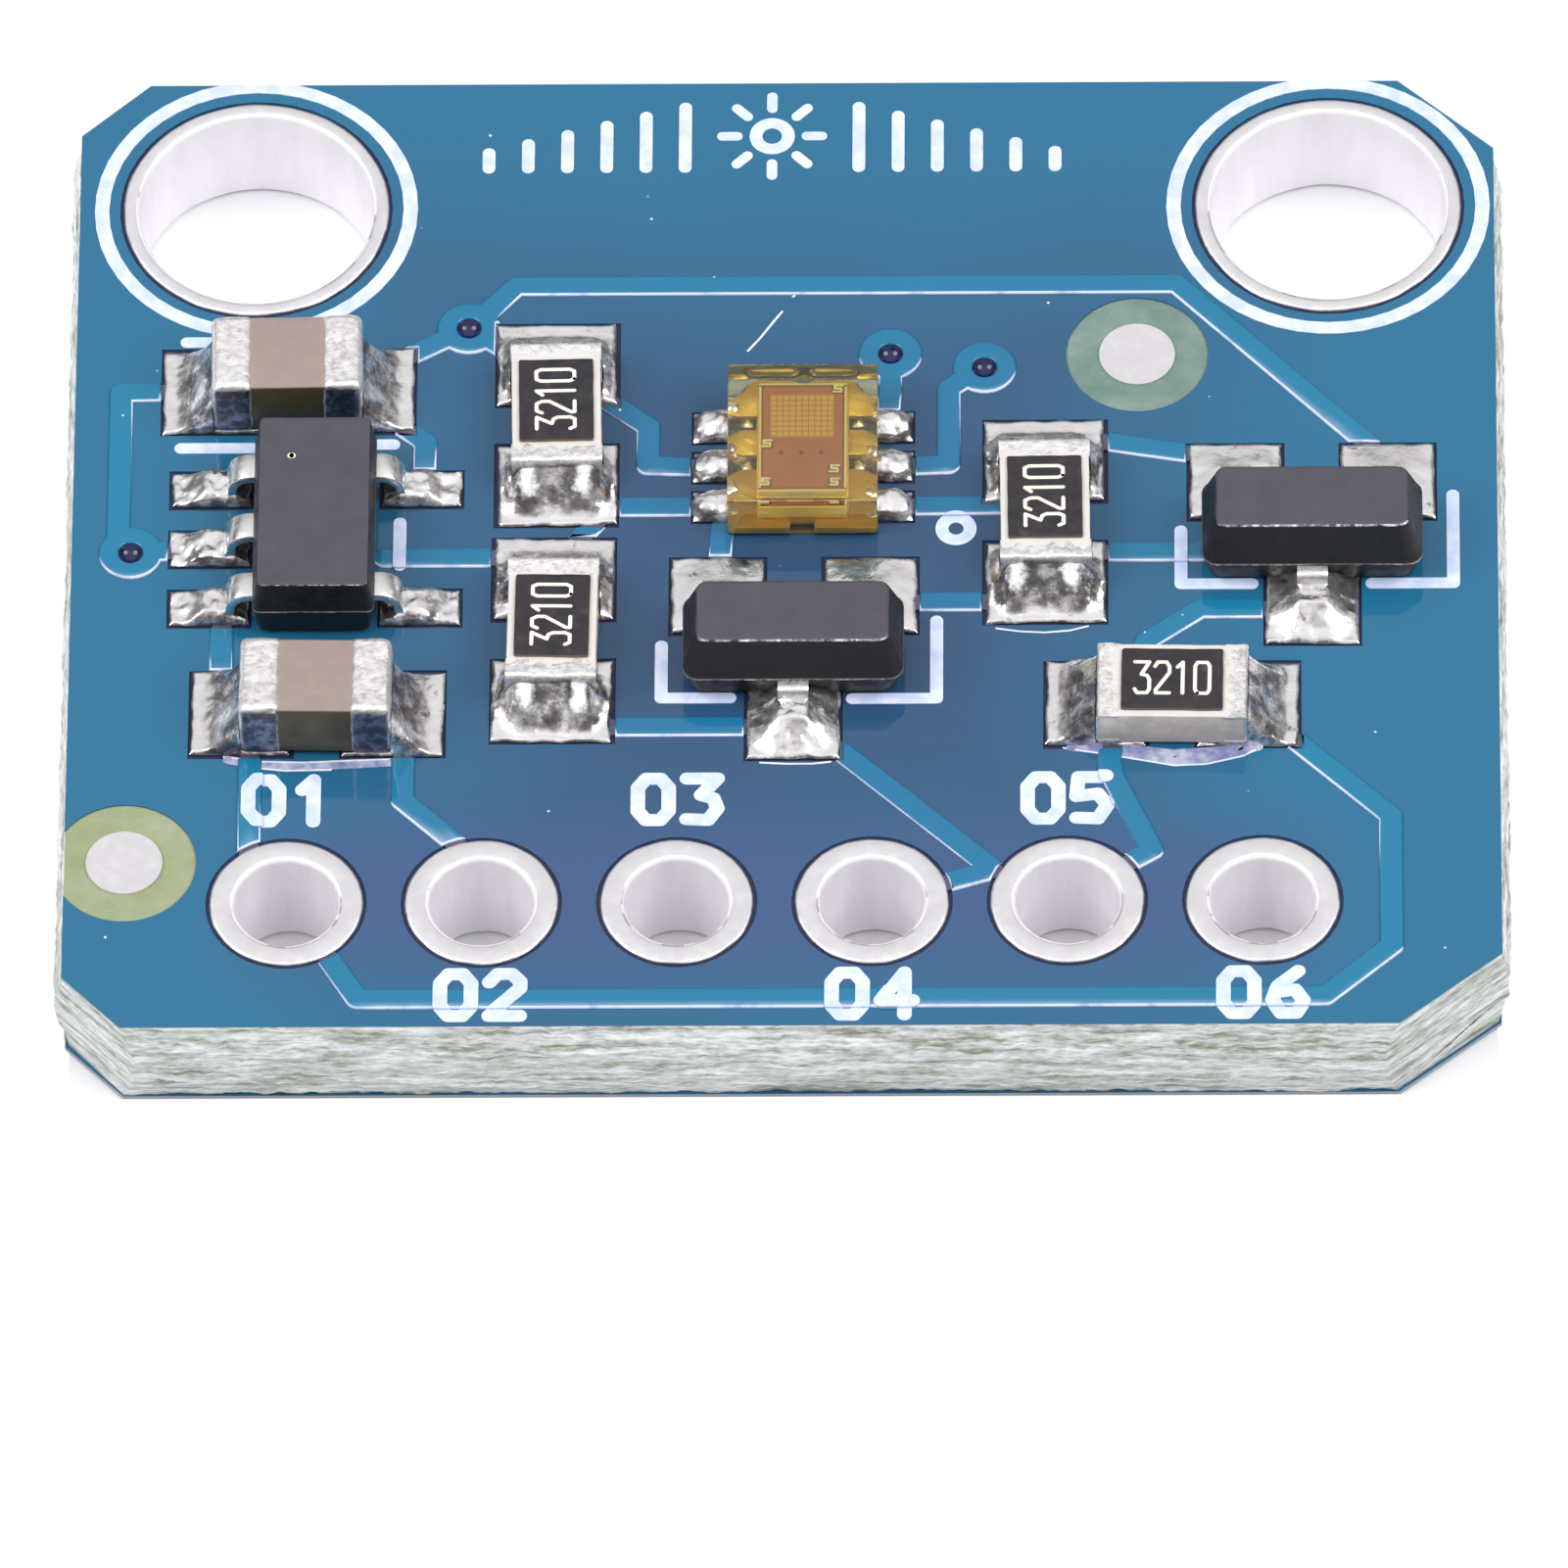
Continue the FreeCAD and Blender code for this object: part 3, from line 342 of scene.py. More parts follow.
def lacquer(name):
    look = maskLook
    made = Surface(name, Roughness=0.10, IOR=1.5)
    x, y, z = made.axes()
    # Painted reflection: lighter and greener from the middle towards the edges, more so towards the back
    sideways = made.size(x)
    lengthways = made.math("MAXIMUM", made.times(y, 1.05), made.times(y, -0.72))
    drift = made.times(made.cloud(0.22, 2.0), 2.4)
    reach = made.math("ADD", made.math("MAXIMUM", sideways, lengthways), drift)
    share = made.spread(reach, *look["fade"])
    flat = made.blend(share, look["middle"], look["edge"])
    rowShare = made.spread(made.size(made.minus(y, look["rowMiddle"])), 1.9, 0.4)
    rowWidth = made.spread(sideways, 8.0, 5.5)
    flat = made.blend(made.times(made.times(rowShare, rowWidth), 0.75), flat, look["row"])
    ridge = made.blend(share, look["ridgeMiddle"], look["ridgeEdge"])
    colour = made.blend(made.spread(z, 1.604, 1.612), flat, ridge)
    facing = made.facing()
    # Painted highlight: pale on the front-facing shoulders and walls of the crests, broken by noise, kept off
    # the vias
    crest = made.times(made.spread(facing[1], -0.06, -0.26), made.spread(z, 1.601, 1.606))
    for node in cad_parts:
        if node.startswith("barrel_via"):
            crest = made.times(crest, made.spread(made.away((*ownMiddle(node), 1.6)), *look["viaClear"]))
    brokenHighlight = made.spread(made.cloud(3.0, 4.0, 0.6), 0.30, 0.50, 0.60, 1.0)
    colour = made.blend(made.times(crest, brokenHighlight), colour, look["crest"])
    upright = made.times(made.spread(made.size(facing[2]), 0.6, 0.3), made.spread(z, 1.0, 0.5))
    colour = made.blend(upright, colour, look["side"])
    size = look["speckSize"]
    for grain in look["speckGrains"]:
        cell = made.cells(grain)
        near = made.spread(cell["Distance"], size * 1.8, size)
        chosen = made.spread(made.add("SeparateColor", {0: cell["Color"]}).outputs[0], 0.76, 0.78)
        colour = made.blend(made.times(near, chosen), colour, look["speck"])
    made.wire("Base Color", colour)
    made.wire("Roughness", made.spread(made.cloud(0.9, 5.0), 0.3, 0.8, 0.06, 0.16))
    made.bump(made.cloud(1.3, 2.0), 0.10, 0.02)
    return made.material


# Laminate: layers of glass threads in the broken sides, a bare round spot under each alignment dot, and a top
# painted dark navy as painted shade in the mask's narrow gaps
laminateLook = {
    "pale": tint(242, 244, 244),
    "grey": tint(198, 202, 198),
    "green": tint(148, 156, 138),
    "deep": tint(100, 106, 104),
    "gap": tint(24, 32, 66),
    "olive": tint(124, 136, 82),
    "leaf": tint(66, 106, 92),
    "bareRadius": 1.02,
}


def glassFibre(name):
    look = laminateLook
    made = Surface(name, Roughness=0.62, IOR=1.5)
    x, y, z = made.axes()
    layers = made.cloud(1.0, 6.0, 0.62, (1.1, 1.1, 11.0))
    threads = made.cloud(1.0, 4.0, 0.6, (5.5, 5.5, 22.0))
    value = made.math("ADD", made.times(layers, 0.62), made.times(threads, 0.38))
    stops = [(0.30, look["deep"]), (0.41, look["green"]), (0.49, look["grey"]), (0.60, look["pale"])]
    side = made.ramp(value, stops)
    broken = made.times(made.spread(z, 1.49, 1.56), made.spread(threads, 0.38, 0.52))
    side = made.blend(broken, side, look["pale"])
    # Painted shade: the top shows only in the narrow gaps around pads and rings, so it is painted dark navy
    top = look["gap"]
    for dot, key in (("left", "olive"), ("right", "leaf")):
        away = made.away((*dots[dot], levels["laminateTop"]))
        bare = made.spread(away, look["bareRadius"], look["bareRadius"] - 0.02)
        shade = made.blend(made.cloud(2.2, 4.0), look[key], made.blend(0.25, look[key], look["pale"]))
        top = made.blend(bare, top, shade)
    made.wire("Base Color", made.blend(made.spread(z, 1.568, 1.5735), side, top))
    made.bump(value, 0.75, 0.10)
    return made.material


# A colour mottled between two tints, and where given its own gloss and bumps
def mottled(name, grain, dark, pale, gloss=None, bumps=None, **fixed):
    made = Surface(name, **fixed)
    made.wire("Base Color", made.blend(made.cloud(*grain), tint(*dark), tint(*pale)))
    if gloss:
        made.wire("Roughness", made.spread(made.cloud(*gloss[0]), *gloss[1]))
    if bumps:
        made.bump(made.cloud(*bumps[0]), *bumps[1])
    return made.material


# Two painted highlights on the front fillet of each upright resistor: bright spots, each with a painted dark
# rim around it
gleams = {"aside": 0.36, "before": 1.15, "size": (0.15, 0.25), "chips": ("1", "2", "3")}


def paintedGlints(made):
    look = gleams
    stretch = (1 / look["size"][0], 1 / look["size"][1], 0)
    where = made.stretched(stretch)
    drift = made.times(made.minus(made.cloud(5.0, 5.0, 0.65), 0.5), 2.4)
    glint, ring = 0.0, 0.0
    for key in look["chips"]:
        x, y = resistors[key]["middle"]
        for side in (-1, 1):
            spot = ((x + side * look["aside"]) * stretch[0], (y - look["before"]) * stretch[1], 0)
            away = made.math("ADD", made.away(spot, where), drift)
            glint = made.math("MAXIMUM", glint, made.spread(away, 1.05, 0.40))
            ring = made.math("MAXIMUM", ring, made.spread(away, 1.7, 0.9))
    return glint, ring


# Solder: bright where it lies flat; its slopes are darker and less metallic as painted shade, with dark and
# pale patches as painted reflections
def meltedTin(name):
    made = Surface(name)
    stain = made.spread(made.cloud(3.4, 6.0, 0.65), 0.60, 0.70)
    colour = made.blend(made.cloud(1.8, 3.0), tint(232, 228, 228), tint(250, 248, 247))
    # Painted shade and reflections: the steeper the slope, the darker and less metallic, with patches
    # standing in for reflections
    slope = made.math("ADD", made.facing()[2], made.times(made.cloud(5.0, 4.0, 0.6), 0.16))
    slopeShade = made.spread(slope, 1.04, 0.80)
    stops = [(0.36, tint(62, 58, 60)), (0.47, tint(128, 123, 125)),
             (0.55, tint(214, 210, 209)), (0.64, tint(250, 248, 247))]
    paintedReflections = made.ramp(made.cloud(2.9, 6.0, 0.68), stops)
    colour = made.blend(made.times(slopeShade, 0.9), colour, paintedReflections)
    colour = made.blend(stain, colour, tint(134, 127, 122))
    # Painted highlights: white, less metallic spots, and a painted dark rim (ring) around each
    glint, ring = paintedGlints(made)
    colour = made.blend(made.times(ring, 0.5), colour, tint(84, 80, 84))
    made.wire("Base Color", made.blend(glint, colour, tint(250, 249, 250)))
    shine = made.minus(1.0, made.times(slopeShade, 0.25))
    made.wire("Metallic", made.times(shine, made.minus(1.0, made.times(glint, 0.8))))
    made.wire("Roughness", made.spread(made.cloud(4.5, 5.0), 0.35, 0.7, 0.10, 0.30))
    made.bump(made.cloud(6.5, 4.0, 0.6), 0.28, 0.04)
    return made.material


# Tinned end caps: a matt grain, and on the thick ones a dark front, partly glossy solder on the cap and
# partly a painted reflection of the regulator and the blue mask
def mattTin(name, grain, strength, dark):
    made = Surface(name, Metallic=0.9, Roughness=0.42)
    cloud = made.cloud(grain, 3.0, 0.6)
    colour = made.ramp(cloud, [(0.32, tint(204, 198, 196)), (0.46, tint(236, 232, 231)),
                               (0.60, tint(255, 253, 252))])
    # Painted reflection on the faces turned to the front: dark blue patches over the caps' solder
    front = made.spread(made.facing()[1], -0.55, -0.92, 0.0, dark)
    share = made.spread(made.cloud(7.0, 4.0, 0.6), 0.45, 0.62)
    frontReflection = made.blend(share, tint(46, 50, 68), tint(118, 124, 146))
    made.wire("Base Color", made.blend(front, colour, frontReflection))
    made.wire("Roughness", made.spread(cloud, 0.3, 0.7, 0.52, 0.30))
    made.bump(cloud, strength, 0.03)
    return made.material


def ceramic(name, dark, pale):
    made = Surface(name, Roughness=0.32, IOR=1.55)
    cloud = made.cloud(3.0, 6.0, 0.6)
    side = made.blend(made.spread(cloud, 0.35, 0.7), dark, pale)
    top = made.blend(cloud, tint(198, 194, 190), tint(222, 218, 213))
    made.wire("Base Color", made.blend(made.spread(made.facing()[2], 0.5, 0.9), side, top))
    made.bump(made.cloud(22.0, 3.0), 0.12, 0.015)
    return made.material


# Capacitor ceramic: the sides are painted dark olive beside a paler top, painted shade on the faces turned
# from the overhead light
def capacitorCeramic(name):
    made = Surface(name, Roughness=0.36, IOR=1.55)
    up = made.facing()[2]
    cloud = made.cloud(6.0, 5.0)
    top = made.blend(cloud, tint(142, 126, 118), tint(158, 142, 134))
    side = made.blend(cloud, tint(64, 60, 40), tint(82, 76, 50))
    made.wire("Base Color", made.blend(made.spread(up, 0.35, 0.9), side, top))
    made.bump(made.cloud(24.0, 3.0), 0.10, 0.012)
    return made.material


def glaze(name):
    made = Surface(name, Roughness=0.30, IOR=1.5)
    cloud = made.cloud(5.0, 6.0, 0.65)
    colour = made.ramp(cloud, [(0.35, tint(30, 28, 33)), (0.62, tint(46, 42, 46)), (0.80, tint(86, 74, 68))])
    low = made.spread(made.facing()[2], 0.90, 0.55)
    made.wire("Base Color", made.blend(low, colour, tint(112, 88, 72)))
    made.wire("Roughness", made.spread(cloud, 0.3, 0.7, 0.26, 0.48))
    made.bump(made.cloud(9.0, 4.0), 0.16, 0.02)
    return made.material


def ink(name, colour):
    made = Surface(name, Roughness=0.5, IOR=1.45)
    cloud = made.cloud(3.5, 5.0, 0.6)
    pale = made.blend(0.35, colour, tint(255, 255, 255))
    made.wire("Base Color", made.blend(made.spread(cloud, 0.35, 0.65), colour, pale))
    made.bump(made.cloud(9.0, 3.0), 0.10, 0.01)
    return made.material


# Black moulding: greyer on top as painted light from overhead, darker sides as painted shade, and nearly
# black as painted shade on the faces turned down under the parting line
def moulding(name):
    made = Surface(name, Roughness=0.50, IOR=1.5)
    cloud = made.cloud(2.5, 6.0, 0.65)
    side = made.blend(cloud, tint(16, 16, 21), tint(25, 25, 31))
    top = made.blend(cloud, tint(62, 60, 68), tint(80, 77, 85))
    up = made.facing()[2]
    colour = made.blend(made.spread(up, 0.62, 0.97), side, top)
    made.wire("Base Color", made.blend(made.spread(up, -0.02, -0.15), colour, tint(9, 9, 12)))
    made.wire("Roughness", made.spread(made.cloud(7.0, 5.0), 0.3, 0.7, 0.44, 0.60))
    made.bump(made.cloud(26.0, 3.0), 0.35, 0.012)
    return made.material


# Noisy pale and dark line: the parting seam's mark, and a painted highlight along the front top edge
def wornEdge(name):
    made = Surface(name, Roughness=0.55, IOR=1.5)
    cloud = made.cloud(7.0, 5.0, 0.7)
    made.wire("Base Color", made.ramp(cloud, [(0.42, tint(44, 43, 50)), (0.52, tint(140, 138, 146)),
                                              (0.62, tint(222, 220, 226))]))
    return made.material


# Clear resin, pale white and less clear in broken patches along its rounded front top rim
def clearResin(name):
    made = Surface(name, Roughness=0.02, IOR=1.53)
    cloud = made.cloud(1.2, 2.0)
    facing = made.facing()
    rim = made.times(made.spread(facing[1], -0.25, -0.45), made.spread(facing[2], 0.2, 0.45))
    paleRim = made.times(rim, made.spread(made.cloud(6.0, 4.0, 0.6), 0.44, 0.52))
    colour = made.blend(cloud, tint(230, 228, 190), tint(236, 234, 202))
    made.wire("Base Color", made.blend(paleRim, colour, tint(250, 250, 252)))
    made.wire("Transmission Weight", made.minus(0.965, made.times(paleRim, 0.8)))
    return made.material


# Upright streaks down the wall of a hole
streak = (1.0, 4.0, 0.55, (3.0, 3.0, 0.5))
surfaces = {
    "mask": lacquer("solderMask"),
    "laminate": glassFibre("glassFibre"),
    "tin": mottled("brightTin", (2.2, 5.0), (240, 236, 238), (250, 248, 250),
                   ((5.0, 4.0), (0.3, 0.75, 0.26, 0.46)), ((7.0, 3.0), (0.12, 0.02)), Metallic=1.0),
    "wall": mottled("platedWall", streak, (228, 224, 229), (252, 250, 253), None, (streak, (0.35, 0.05)),
                    Metallic=0.25, Roughness=0.45),
    "solder": meltedTin("meltedTin"),
    "endCap": mattTin("endCapTin", 15.0, 0.45, 0.0),
    "thickCap": mattTin("thickCapTin", 9.5, 0.55, 0.9),
    "lead": mottled("leadTin", (5.0, 4.0), (228, 224, 222), (250, 248, 246),
                    ((9.0, 3.0), (0.3, 0.7, 0.20, 0.40)), ((12.0, 3.0), (0.16, 0.02)), Metallic=1.0),
    "alumina": ceramic("aluminaCeramic", tint(194, 183, 176), tint(220, 210, 202)),
    "dielectric": capacitorCeramic("capacitorCeramic"),
    "overcoat": glaze("overcoatGlaze"),
    "numberInk": ink("numberInk", tint(232, 224, 208)),
    "legend": ink("legendInk", tint(192, 206, 238)),
    "moulding": moulding("blackMoulding"),
    "wornEdge": wornEdge("wornEdge"),
    "resin": clearResin("clearResin"),
    "gold": mottled("goldPlate", (5.0, 5.0), (224, 180, 56), (246, 204, 88), None, ((3.5, 4.0), (0.5, 0.06)),
                    Metallic=0.85, Roughness=0.34),
    "bond": ink("bondGold", tint(255, 236, 150)),
    "flux": ink("driedFlux", tint(108, 116, 160)),
    "fluxEdge": ink("driedFluxEdge", tint(206, 208, 222)),
    "copper": mottled("tinnedCopper", (4.0, 4.0), (70, 72, 96), (122, 122, 140), Metallic=0.8, Roughness=0.5),
    "plug": mottled("plugLacquer", (3.0, 3.0), (12, 16, 58), (26, 34, 84), Roughness=0.08, IOR=1.55),
}
print("materials made:", len(surfaces))


def dress(surface, *starts):
    for node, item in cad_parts.items():
        if node.startswith(starts):
            item.data.materials.clear()
            item.data.materials.append(surfaces[surface])


dress("copper", "copper_", "barrel_via")
dress("mask", "solder_mask")
dress("laminate", "board_laminate")
dress("tin", "alignment_dot", "barrel_mount", "barrel_terminal")
dress("legend", "printed_legend")


# Solder mask: the part's own sheet, with the shoulders of the lacquer over the tracks rounded off
maskShape = {"shoulder": 0.030, "segments": 3, "merge": 0.004}


def roundMask():
    shape = ownMesh("solder_mask_top", maskShape["merge"])
    shape.normal_update()
    top = levels["ridgeTop"]
    shoulder = [edge for edge in shape.edges if edge.is_manifold
                and all(abs(vert.co.z - top) < 0.002 for vert in edge.verts)
                and edge.calc_face_angle(0.0) > 1.0]
    rounded(shape, shoulder, maskShape["shoulder"], maskShape["segments"], clamp=False)
    makePiece("maskSheet", shape, ["mask"], ["solder_mask_top"], 60, True)


roundMask()
print("solder mask made")


# Laminate: the part's own board, with the snapped sides broken up into layers and torn threads
laminateShape = {"rows": 12, "pitch": 0.07, "tear": 0.085, "topTear": 0.012, "side": 0.35}


def tornLaminate():
    look = laminateShape
    shape = ownMesh("board_laminate", 1e-4)
    low, high = ownBox("board_laminate")
    half = ((high.x - low.x) / 2, (high.y - low.y) / 2)

    def outer(face):
        spot = face.calc_center_median()
        near = abs(spot.x) > half[0] - look["side"] or abs(spot.y) > half[1] - look["side"]
        return near and abs(face.normal.z) < 0.9

    shape.normal_update()
    sides = [face for face in shape.faces if outer(face)]
    edges = {edge for face in sides for edge in face.edges if edge.is_manifold
             and all(other in sides for other in edge.link_faces)}
    bmesh.ops.dissolve_limit(
        shape, angle_limit=math.radians(0.6), verts=[], edges=list(edges), use_dissolve_boundaries=False)
    for height in evenly(low.z, high.z, look["rows"]):
        sides = [face for face in shape.faces if outer(face)]
        near = {edge for face in sides for edge in face.edges}
        spots = {vert for face in sides for vert in face.verts}
        geom = list(spots) + list(near) + sides
        bmesh.ops.bisect_plane(shape, geom=geom, dist=1e-5, plane_co=(0, 0, height), plane_no=(0, 0, 1))
    for axis in (0, 1):
        sides = [face for face in shape.faces if outer(face)]
        long = {edge for face in sides for edge in face.edges
                if abs(edge.verts[0].co[axis] - edge.verts[1].co[axis]) > 8}
        if long:
            cuts = int(half[axis] * 2 / look["pitch"])
            bmesh.ops.subdivide_edges(shape, edges=list(long), cuts=cuts, use_grid_fill=True)
    shape.normal_update()
    sides = [face for face in shape.faces if outer(face)]
    for vert in {vert for face in sides for vert in face.verts}:
        place = vert.co
        layers = noise.fractal(Vector((place.x * 0.9, place.y * 0.9, place.z * 9)), 1.0, 2.0, 4)
        threads = noise.fractal(Vector((place.x * 5, place.y * 5, place.z * 16 + 7)), 1.0, 2.0, 3)
        depth = min(max(0.5 + 0.42 * layers + 0.35 * threads, 0.0), 1.0)
        tear = look["topTear"] if place.z > high.z - 0.01 else look["tear"]
        outward = Vector((vert.normal.x, vert.normal.y, 0))
        if outward.length > 0.01:
            place -= outward.normalized() * depth * tear
    makePiece("boardLaminate", shape, ["laminate"], ["board_laminate"], 60)


tornLaminate()
print("laminate made")


# Plated holes: a lip rolled from the ring into the barrel, on both faces. Radii are of the hole and of
# its ring.
holeRadii = {"barrel_terminal": (0.675, 1.005), "barrel_mount": (1.54, 1.765)}
holeShape = {
    "lift": 0.018, "under": 0.008, "outerRound": 0.045, "innerRound": 0.075, "wall": 0.1, "steps": 96,
    "wave": 0.010, "ragged": 0.012,
}


def platedHole(name, holeRadius, ringRadius):
    look = holeShape
    middle = ownMiddle(name)
    top = levels["copperTop"] + look["lift"]
    inner, outer = look["innerRound"], look["outerRound"]
    under1, under2 = look["under"] + inner, look["under"] + outer
    profile = arc((ringRadius - outer, top - outer), outer, 0, 90, 4)
    profile += arc((holeRadius + inner, top - inner), inner, 90, 180, 5)
    profile += [(holeRadius, height) for height in evenly(top - inner, under1, 5)]
    profile += arc((holeRadius + inner, under1), inner, 180, 270, 5)
    profile += arc((ringRadius - outer, under2), outer, 270, 360, 3)
    profile += [(holeRadius + look["wall"], height) for height in (0.09, levels["laminateTop"] - 0.02)]
    shape = bmesh.new()
    spun(shape, profile, look["steps"])
    for vert in shape.verts:
        radius = vert.co.xy.length
        if radius < ringRadius - outer:
            wall = smoothStep(holeRadius + inner, holeRadius, radius)
            along = Vector((vert.co.x * 2.2, vert.co.y * 2.2, vert.co.z * 0.5 + middle[0]))
            shift = noise.fractal(along, 1.0, 2.0, 3) * look["wave"] * wall
            vert.co.xy *= 1 + shift / radius
        elif radius > ringRadius - outer * 0.6:
            shift = noise.noise(Vector((vert.co.x * 3 + middle[0], vert.co.y * 3, 0))) * look["ragged"]
            vert.co.xy *= 1 + shift / radius
    slide(shape, (*middle, 0))
    wallLimit = holeRadius + inner * 0.55
    shape.normal_update()
    for face in shape.faces:
        away = (face.calc_center_median().xy - Vector(middle)).length
        face.material_index = 1 if away < wallLimit else 0
    label = "plated" + "".join(word.capitalize() for word in name.split("_")[1:])
    makePiece(label, shape, ["tin", "wall"], [name], 50)


# A lacquer plug sunk into each via
viaPlug = {"rim": 0.20, "lip": 1.628, "floor": 1.50, "under": 1.40, "steps": 40}


def plugVia(name):
    look = viaPlug
    outline = [(0, "under", 0), (0.8, "under", 0), (0.98, "lip", -0.03), (1, "lip", -0.012), (0.97, "lip", 0),
               (0.88, "lip", -0.008), (0.66, "floor", 0.045), (0.34, "floor", 0.008), (0, "floor", 0)]
    shape = bmesh.new()
    spun(shape, [(look["rim"] * share, look[key] + rise) for share, key, rise in outline], look["steps"])
    slide(shape, (*ownMiddle(name), 0))
    bmesh.ops.remove_doubles(shape, verts=shape.verts[:], dist=1e-4)
    makePiece("viaPlug" + name[-1], shape, ["plug"], [], 50)


for node in sorted(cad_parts):
    for start, radii in holeRadii.items():
        if node.startswith(start):
            platedHole(node, *radii)
    if node.startswith("barrel_via"):
        plugVia(node)
print("plated holes made")


# Solder joints: a height field over each pad, with its sides and underside closed. The surface rises
# from its edge in a quarter round.
jointShape = {
    "film": 0.030, "cell": 0.028, "edgeRound": 0.045, "sunk": 0.006, "foot": 1.601, "ragged": 0.030,
}


def heightField(shape, span, height, seed):
    look = jointShape
    (left, right), (front, back) = span
    columns = max(int((right - left) / look["cell"]), 6)
    rows = max(int((back - front) / look["cell"]), 6)
    verts = bmesh.ops.create_grid(shape, x_segments=columns, y_segments=rows, size=1.0)["verts"]
    middle = ((left + right) / 2, (front + back) / 2)
    reach = ((right - left) / 2, (back - front) / 2)
    for vert in verts:
        u, v = vert.co.x, vert.co.y
        x, y = middle[0] + u * reach[0], middle[1] + v * reach[1]
        wobble = noise.noise(Vector((x * 4 + seed, y * 4, seed))) * look["ragged"]
        gap = min(reach[0] * (1 - abs(u)), reach[1] * (1 - abs(v)))
        swell = math.sqrt(max(1 - (1 - min(gap / look["edgeRound"], 1.0)) ** 2, 0.0))
        edge = levels["copperTop"] - look["sunk"]
        vert.co = (x + wobble * u, y + wobble * v, edge + (height(x, y) - edge) * (0.25 + 0.75 * swell))
    rim = [edge for edge in shape.edges if edge.is_boundary and edge.verts[0] in set(verts)]
    for vert in onlyVerts(bmesh.ops.extrude_edge_only(shape, edges=rim)["geom"]):
        vert.co.z = look["foot"]
    bmesh.ops.holes_fill(shape, edges=[edge for edge in shape.edges if edge.is_boundary], sides=0)


def wrinkle(x, y, seed, grain=3.2):
    place = Vector((x * grain + seed * 3.1, y * grain - seed, seed))
    return noise.fractal(place, 0.9, 2.1, 4)


# Height over a chip's pad: x runs outward from the chip's middle, y across it
filletShape = {
    "sideFade": (-0.16, 0.13), "lipFade": (-0.75, -0.05), "bulgeAt": 0.22, "bulgeWide": 0.17,
    "bulgeDeep": 0.16,
}


def chipFillet(values, seed, direction):
    look = filletShape
    ahead = -chipForward * math.sin(math.radians(direction))
    aside = chipForward * math.cos(math.radians(direction))
    top = levels["copperTop"] + jointShape["film"]
    under = levels["seat"] - 0.006

    def height(x, y):
        out = x - values["end"] - ahead
        across = abs(y + aside) - values["half"]
        ripple = wrinkle(x, y, seed)
        if out <= 0 and across < 0:
            return under
        if out > 0:
            reach = values["reach"]
            rise = max(1 - out / reach, 0.0) ** values["curve"]
            sides = 1 - smoothStep(*look["sideFade"], across)
            deep = ((out - look["bulgeAt"]) / look["bulgeDeep"]) ** 2
            bulge = sum(math.exp(-((y - spot) / look["bulgeWide"]) ** 2 - deep) for spot in values["bulges"])
            climb = values["climb"] * rise * (0.18 + 0.82 * sides)
            rough = values["rough"] * ripple * smoothStep(reach * 1.15, reach * 0.5, out)
            return top + climb + values["bulge"] * bulge * sides + rough + 0.006 * ripple
        lip = values["lip"] * max(1 - across / look["sideFade"][1], 0.0) * smoothStep(*look["lipFade"], out)
        return top + lip * (1 + 0.9 * ripple) + 0.014 * ripple

    return height


resistorJoint = {
    "end": 0.990, "half": 0.595, "reach": 0.52, "curve": 1.35, "climb": 0.52, "bulges": (-0.39, 0.39),
    "bulge": 0.060, "rough": 0.034, "lip": 0.16,
}
capacitorJoint = {
    "end": 0.995, "half": 0.63, "reach": 0.52, "curve": 1.7, "climb": 0.55, "bulges": (0.1,), "bulge": 0.03,
    "rough": 0.045, "lip": 0.10,
}
chipPad = {"inner": 0.345, "outer": 1.650, "grow": 0.03}


def chipJoints(name, node, item, values, seed):
    for end, side in (("Low", -1), ("High", 1)):
        shape = bmesh.new()
        half = (item["padWide"] + chipPad["grow"]) / 2
        span = ((chipPad["inner"], chipPad["outer"]), (-half, half))
        direction = item["turn"] + (180 if side < 0 else 0)
        heightField(shape, span, chipFillet(values, seed + side, direction), seed + side * 0.5)
        turned(shape, direction)
        slide(shape, (*item["middle"], 0))
        makePiece(name + end, shape, ["solder"], [node], 55)


for key, item in resistors.items():
    chipJoints("resistorJoint" + key, "resistor_solder_" + key, item, resistorJoint, 2.3 * int(key))
for key, item in capacitors.items():
    chipJoints("capacitorJoint" + key, "capacitor_solder_" + key, item, capacitorJoint, 20 + 3.7 * int(key))
print("chip joints made")


# Chip resistors
resistorShape = {
    "long": 1.97, "wide": 1.18, "high": 0.60, "cap": 0.30, "capThick": 0.030, "capRound": 0.06,
    "coat": (1.33, 0.98, 0.022), "numberHigh": 0.50, "numberPitch": 0.262, "numberWide": 0.19,
    "stroke": 0.050,
}

digits = {
    "0": [[(0.1, 0), (0.5, 0), (0.6, 0.12), (0.6, 0.88), (0.5, 1), (0.1, 1), (0, 0.88), (0, 0.12), (0.1, 0)]],
    "1": [[(0.1, 0.84), (0.32, 1), (0.32, 0)]],
    "2": [[(0, 0.86), (0.12, 1), (0.48, 1), (0.6, 0.86), (0.6, 0.66), (0.04, 0.1), (0.04, 0), (0.6, 0)]],
    "3": [[(0, 1), (0.6, 1), (0.27, 0.6), (0.5, 0.56), (0.6, 0.44), (0.6, 0.12), (0.5, 0), (0.1, 0),
           (0, 0.12)]],
}
plainNumber = "3210"


def chipPiece(name, key, item, shape, look, node, sharp):
    turned(shape, item["turn"])
    slide(shape, (item["middle"][0], item["middle"][1] - chipForward, 0))
    makePiece(name + key, shape, [look], [node + key] if node else [], sharp)


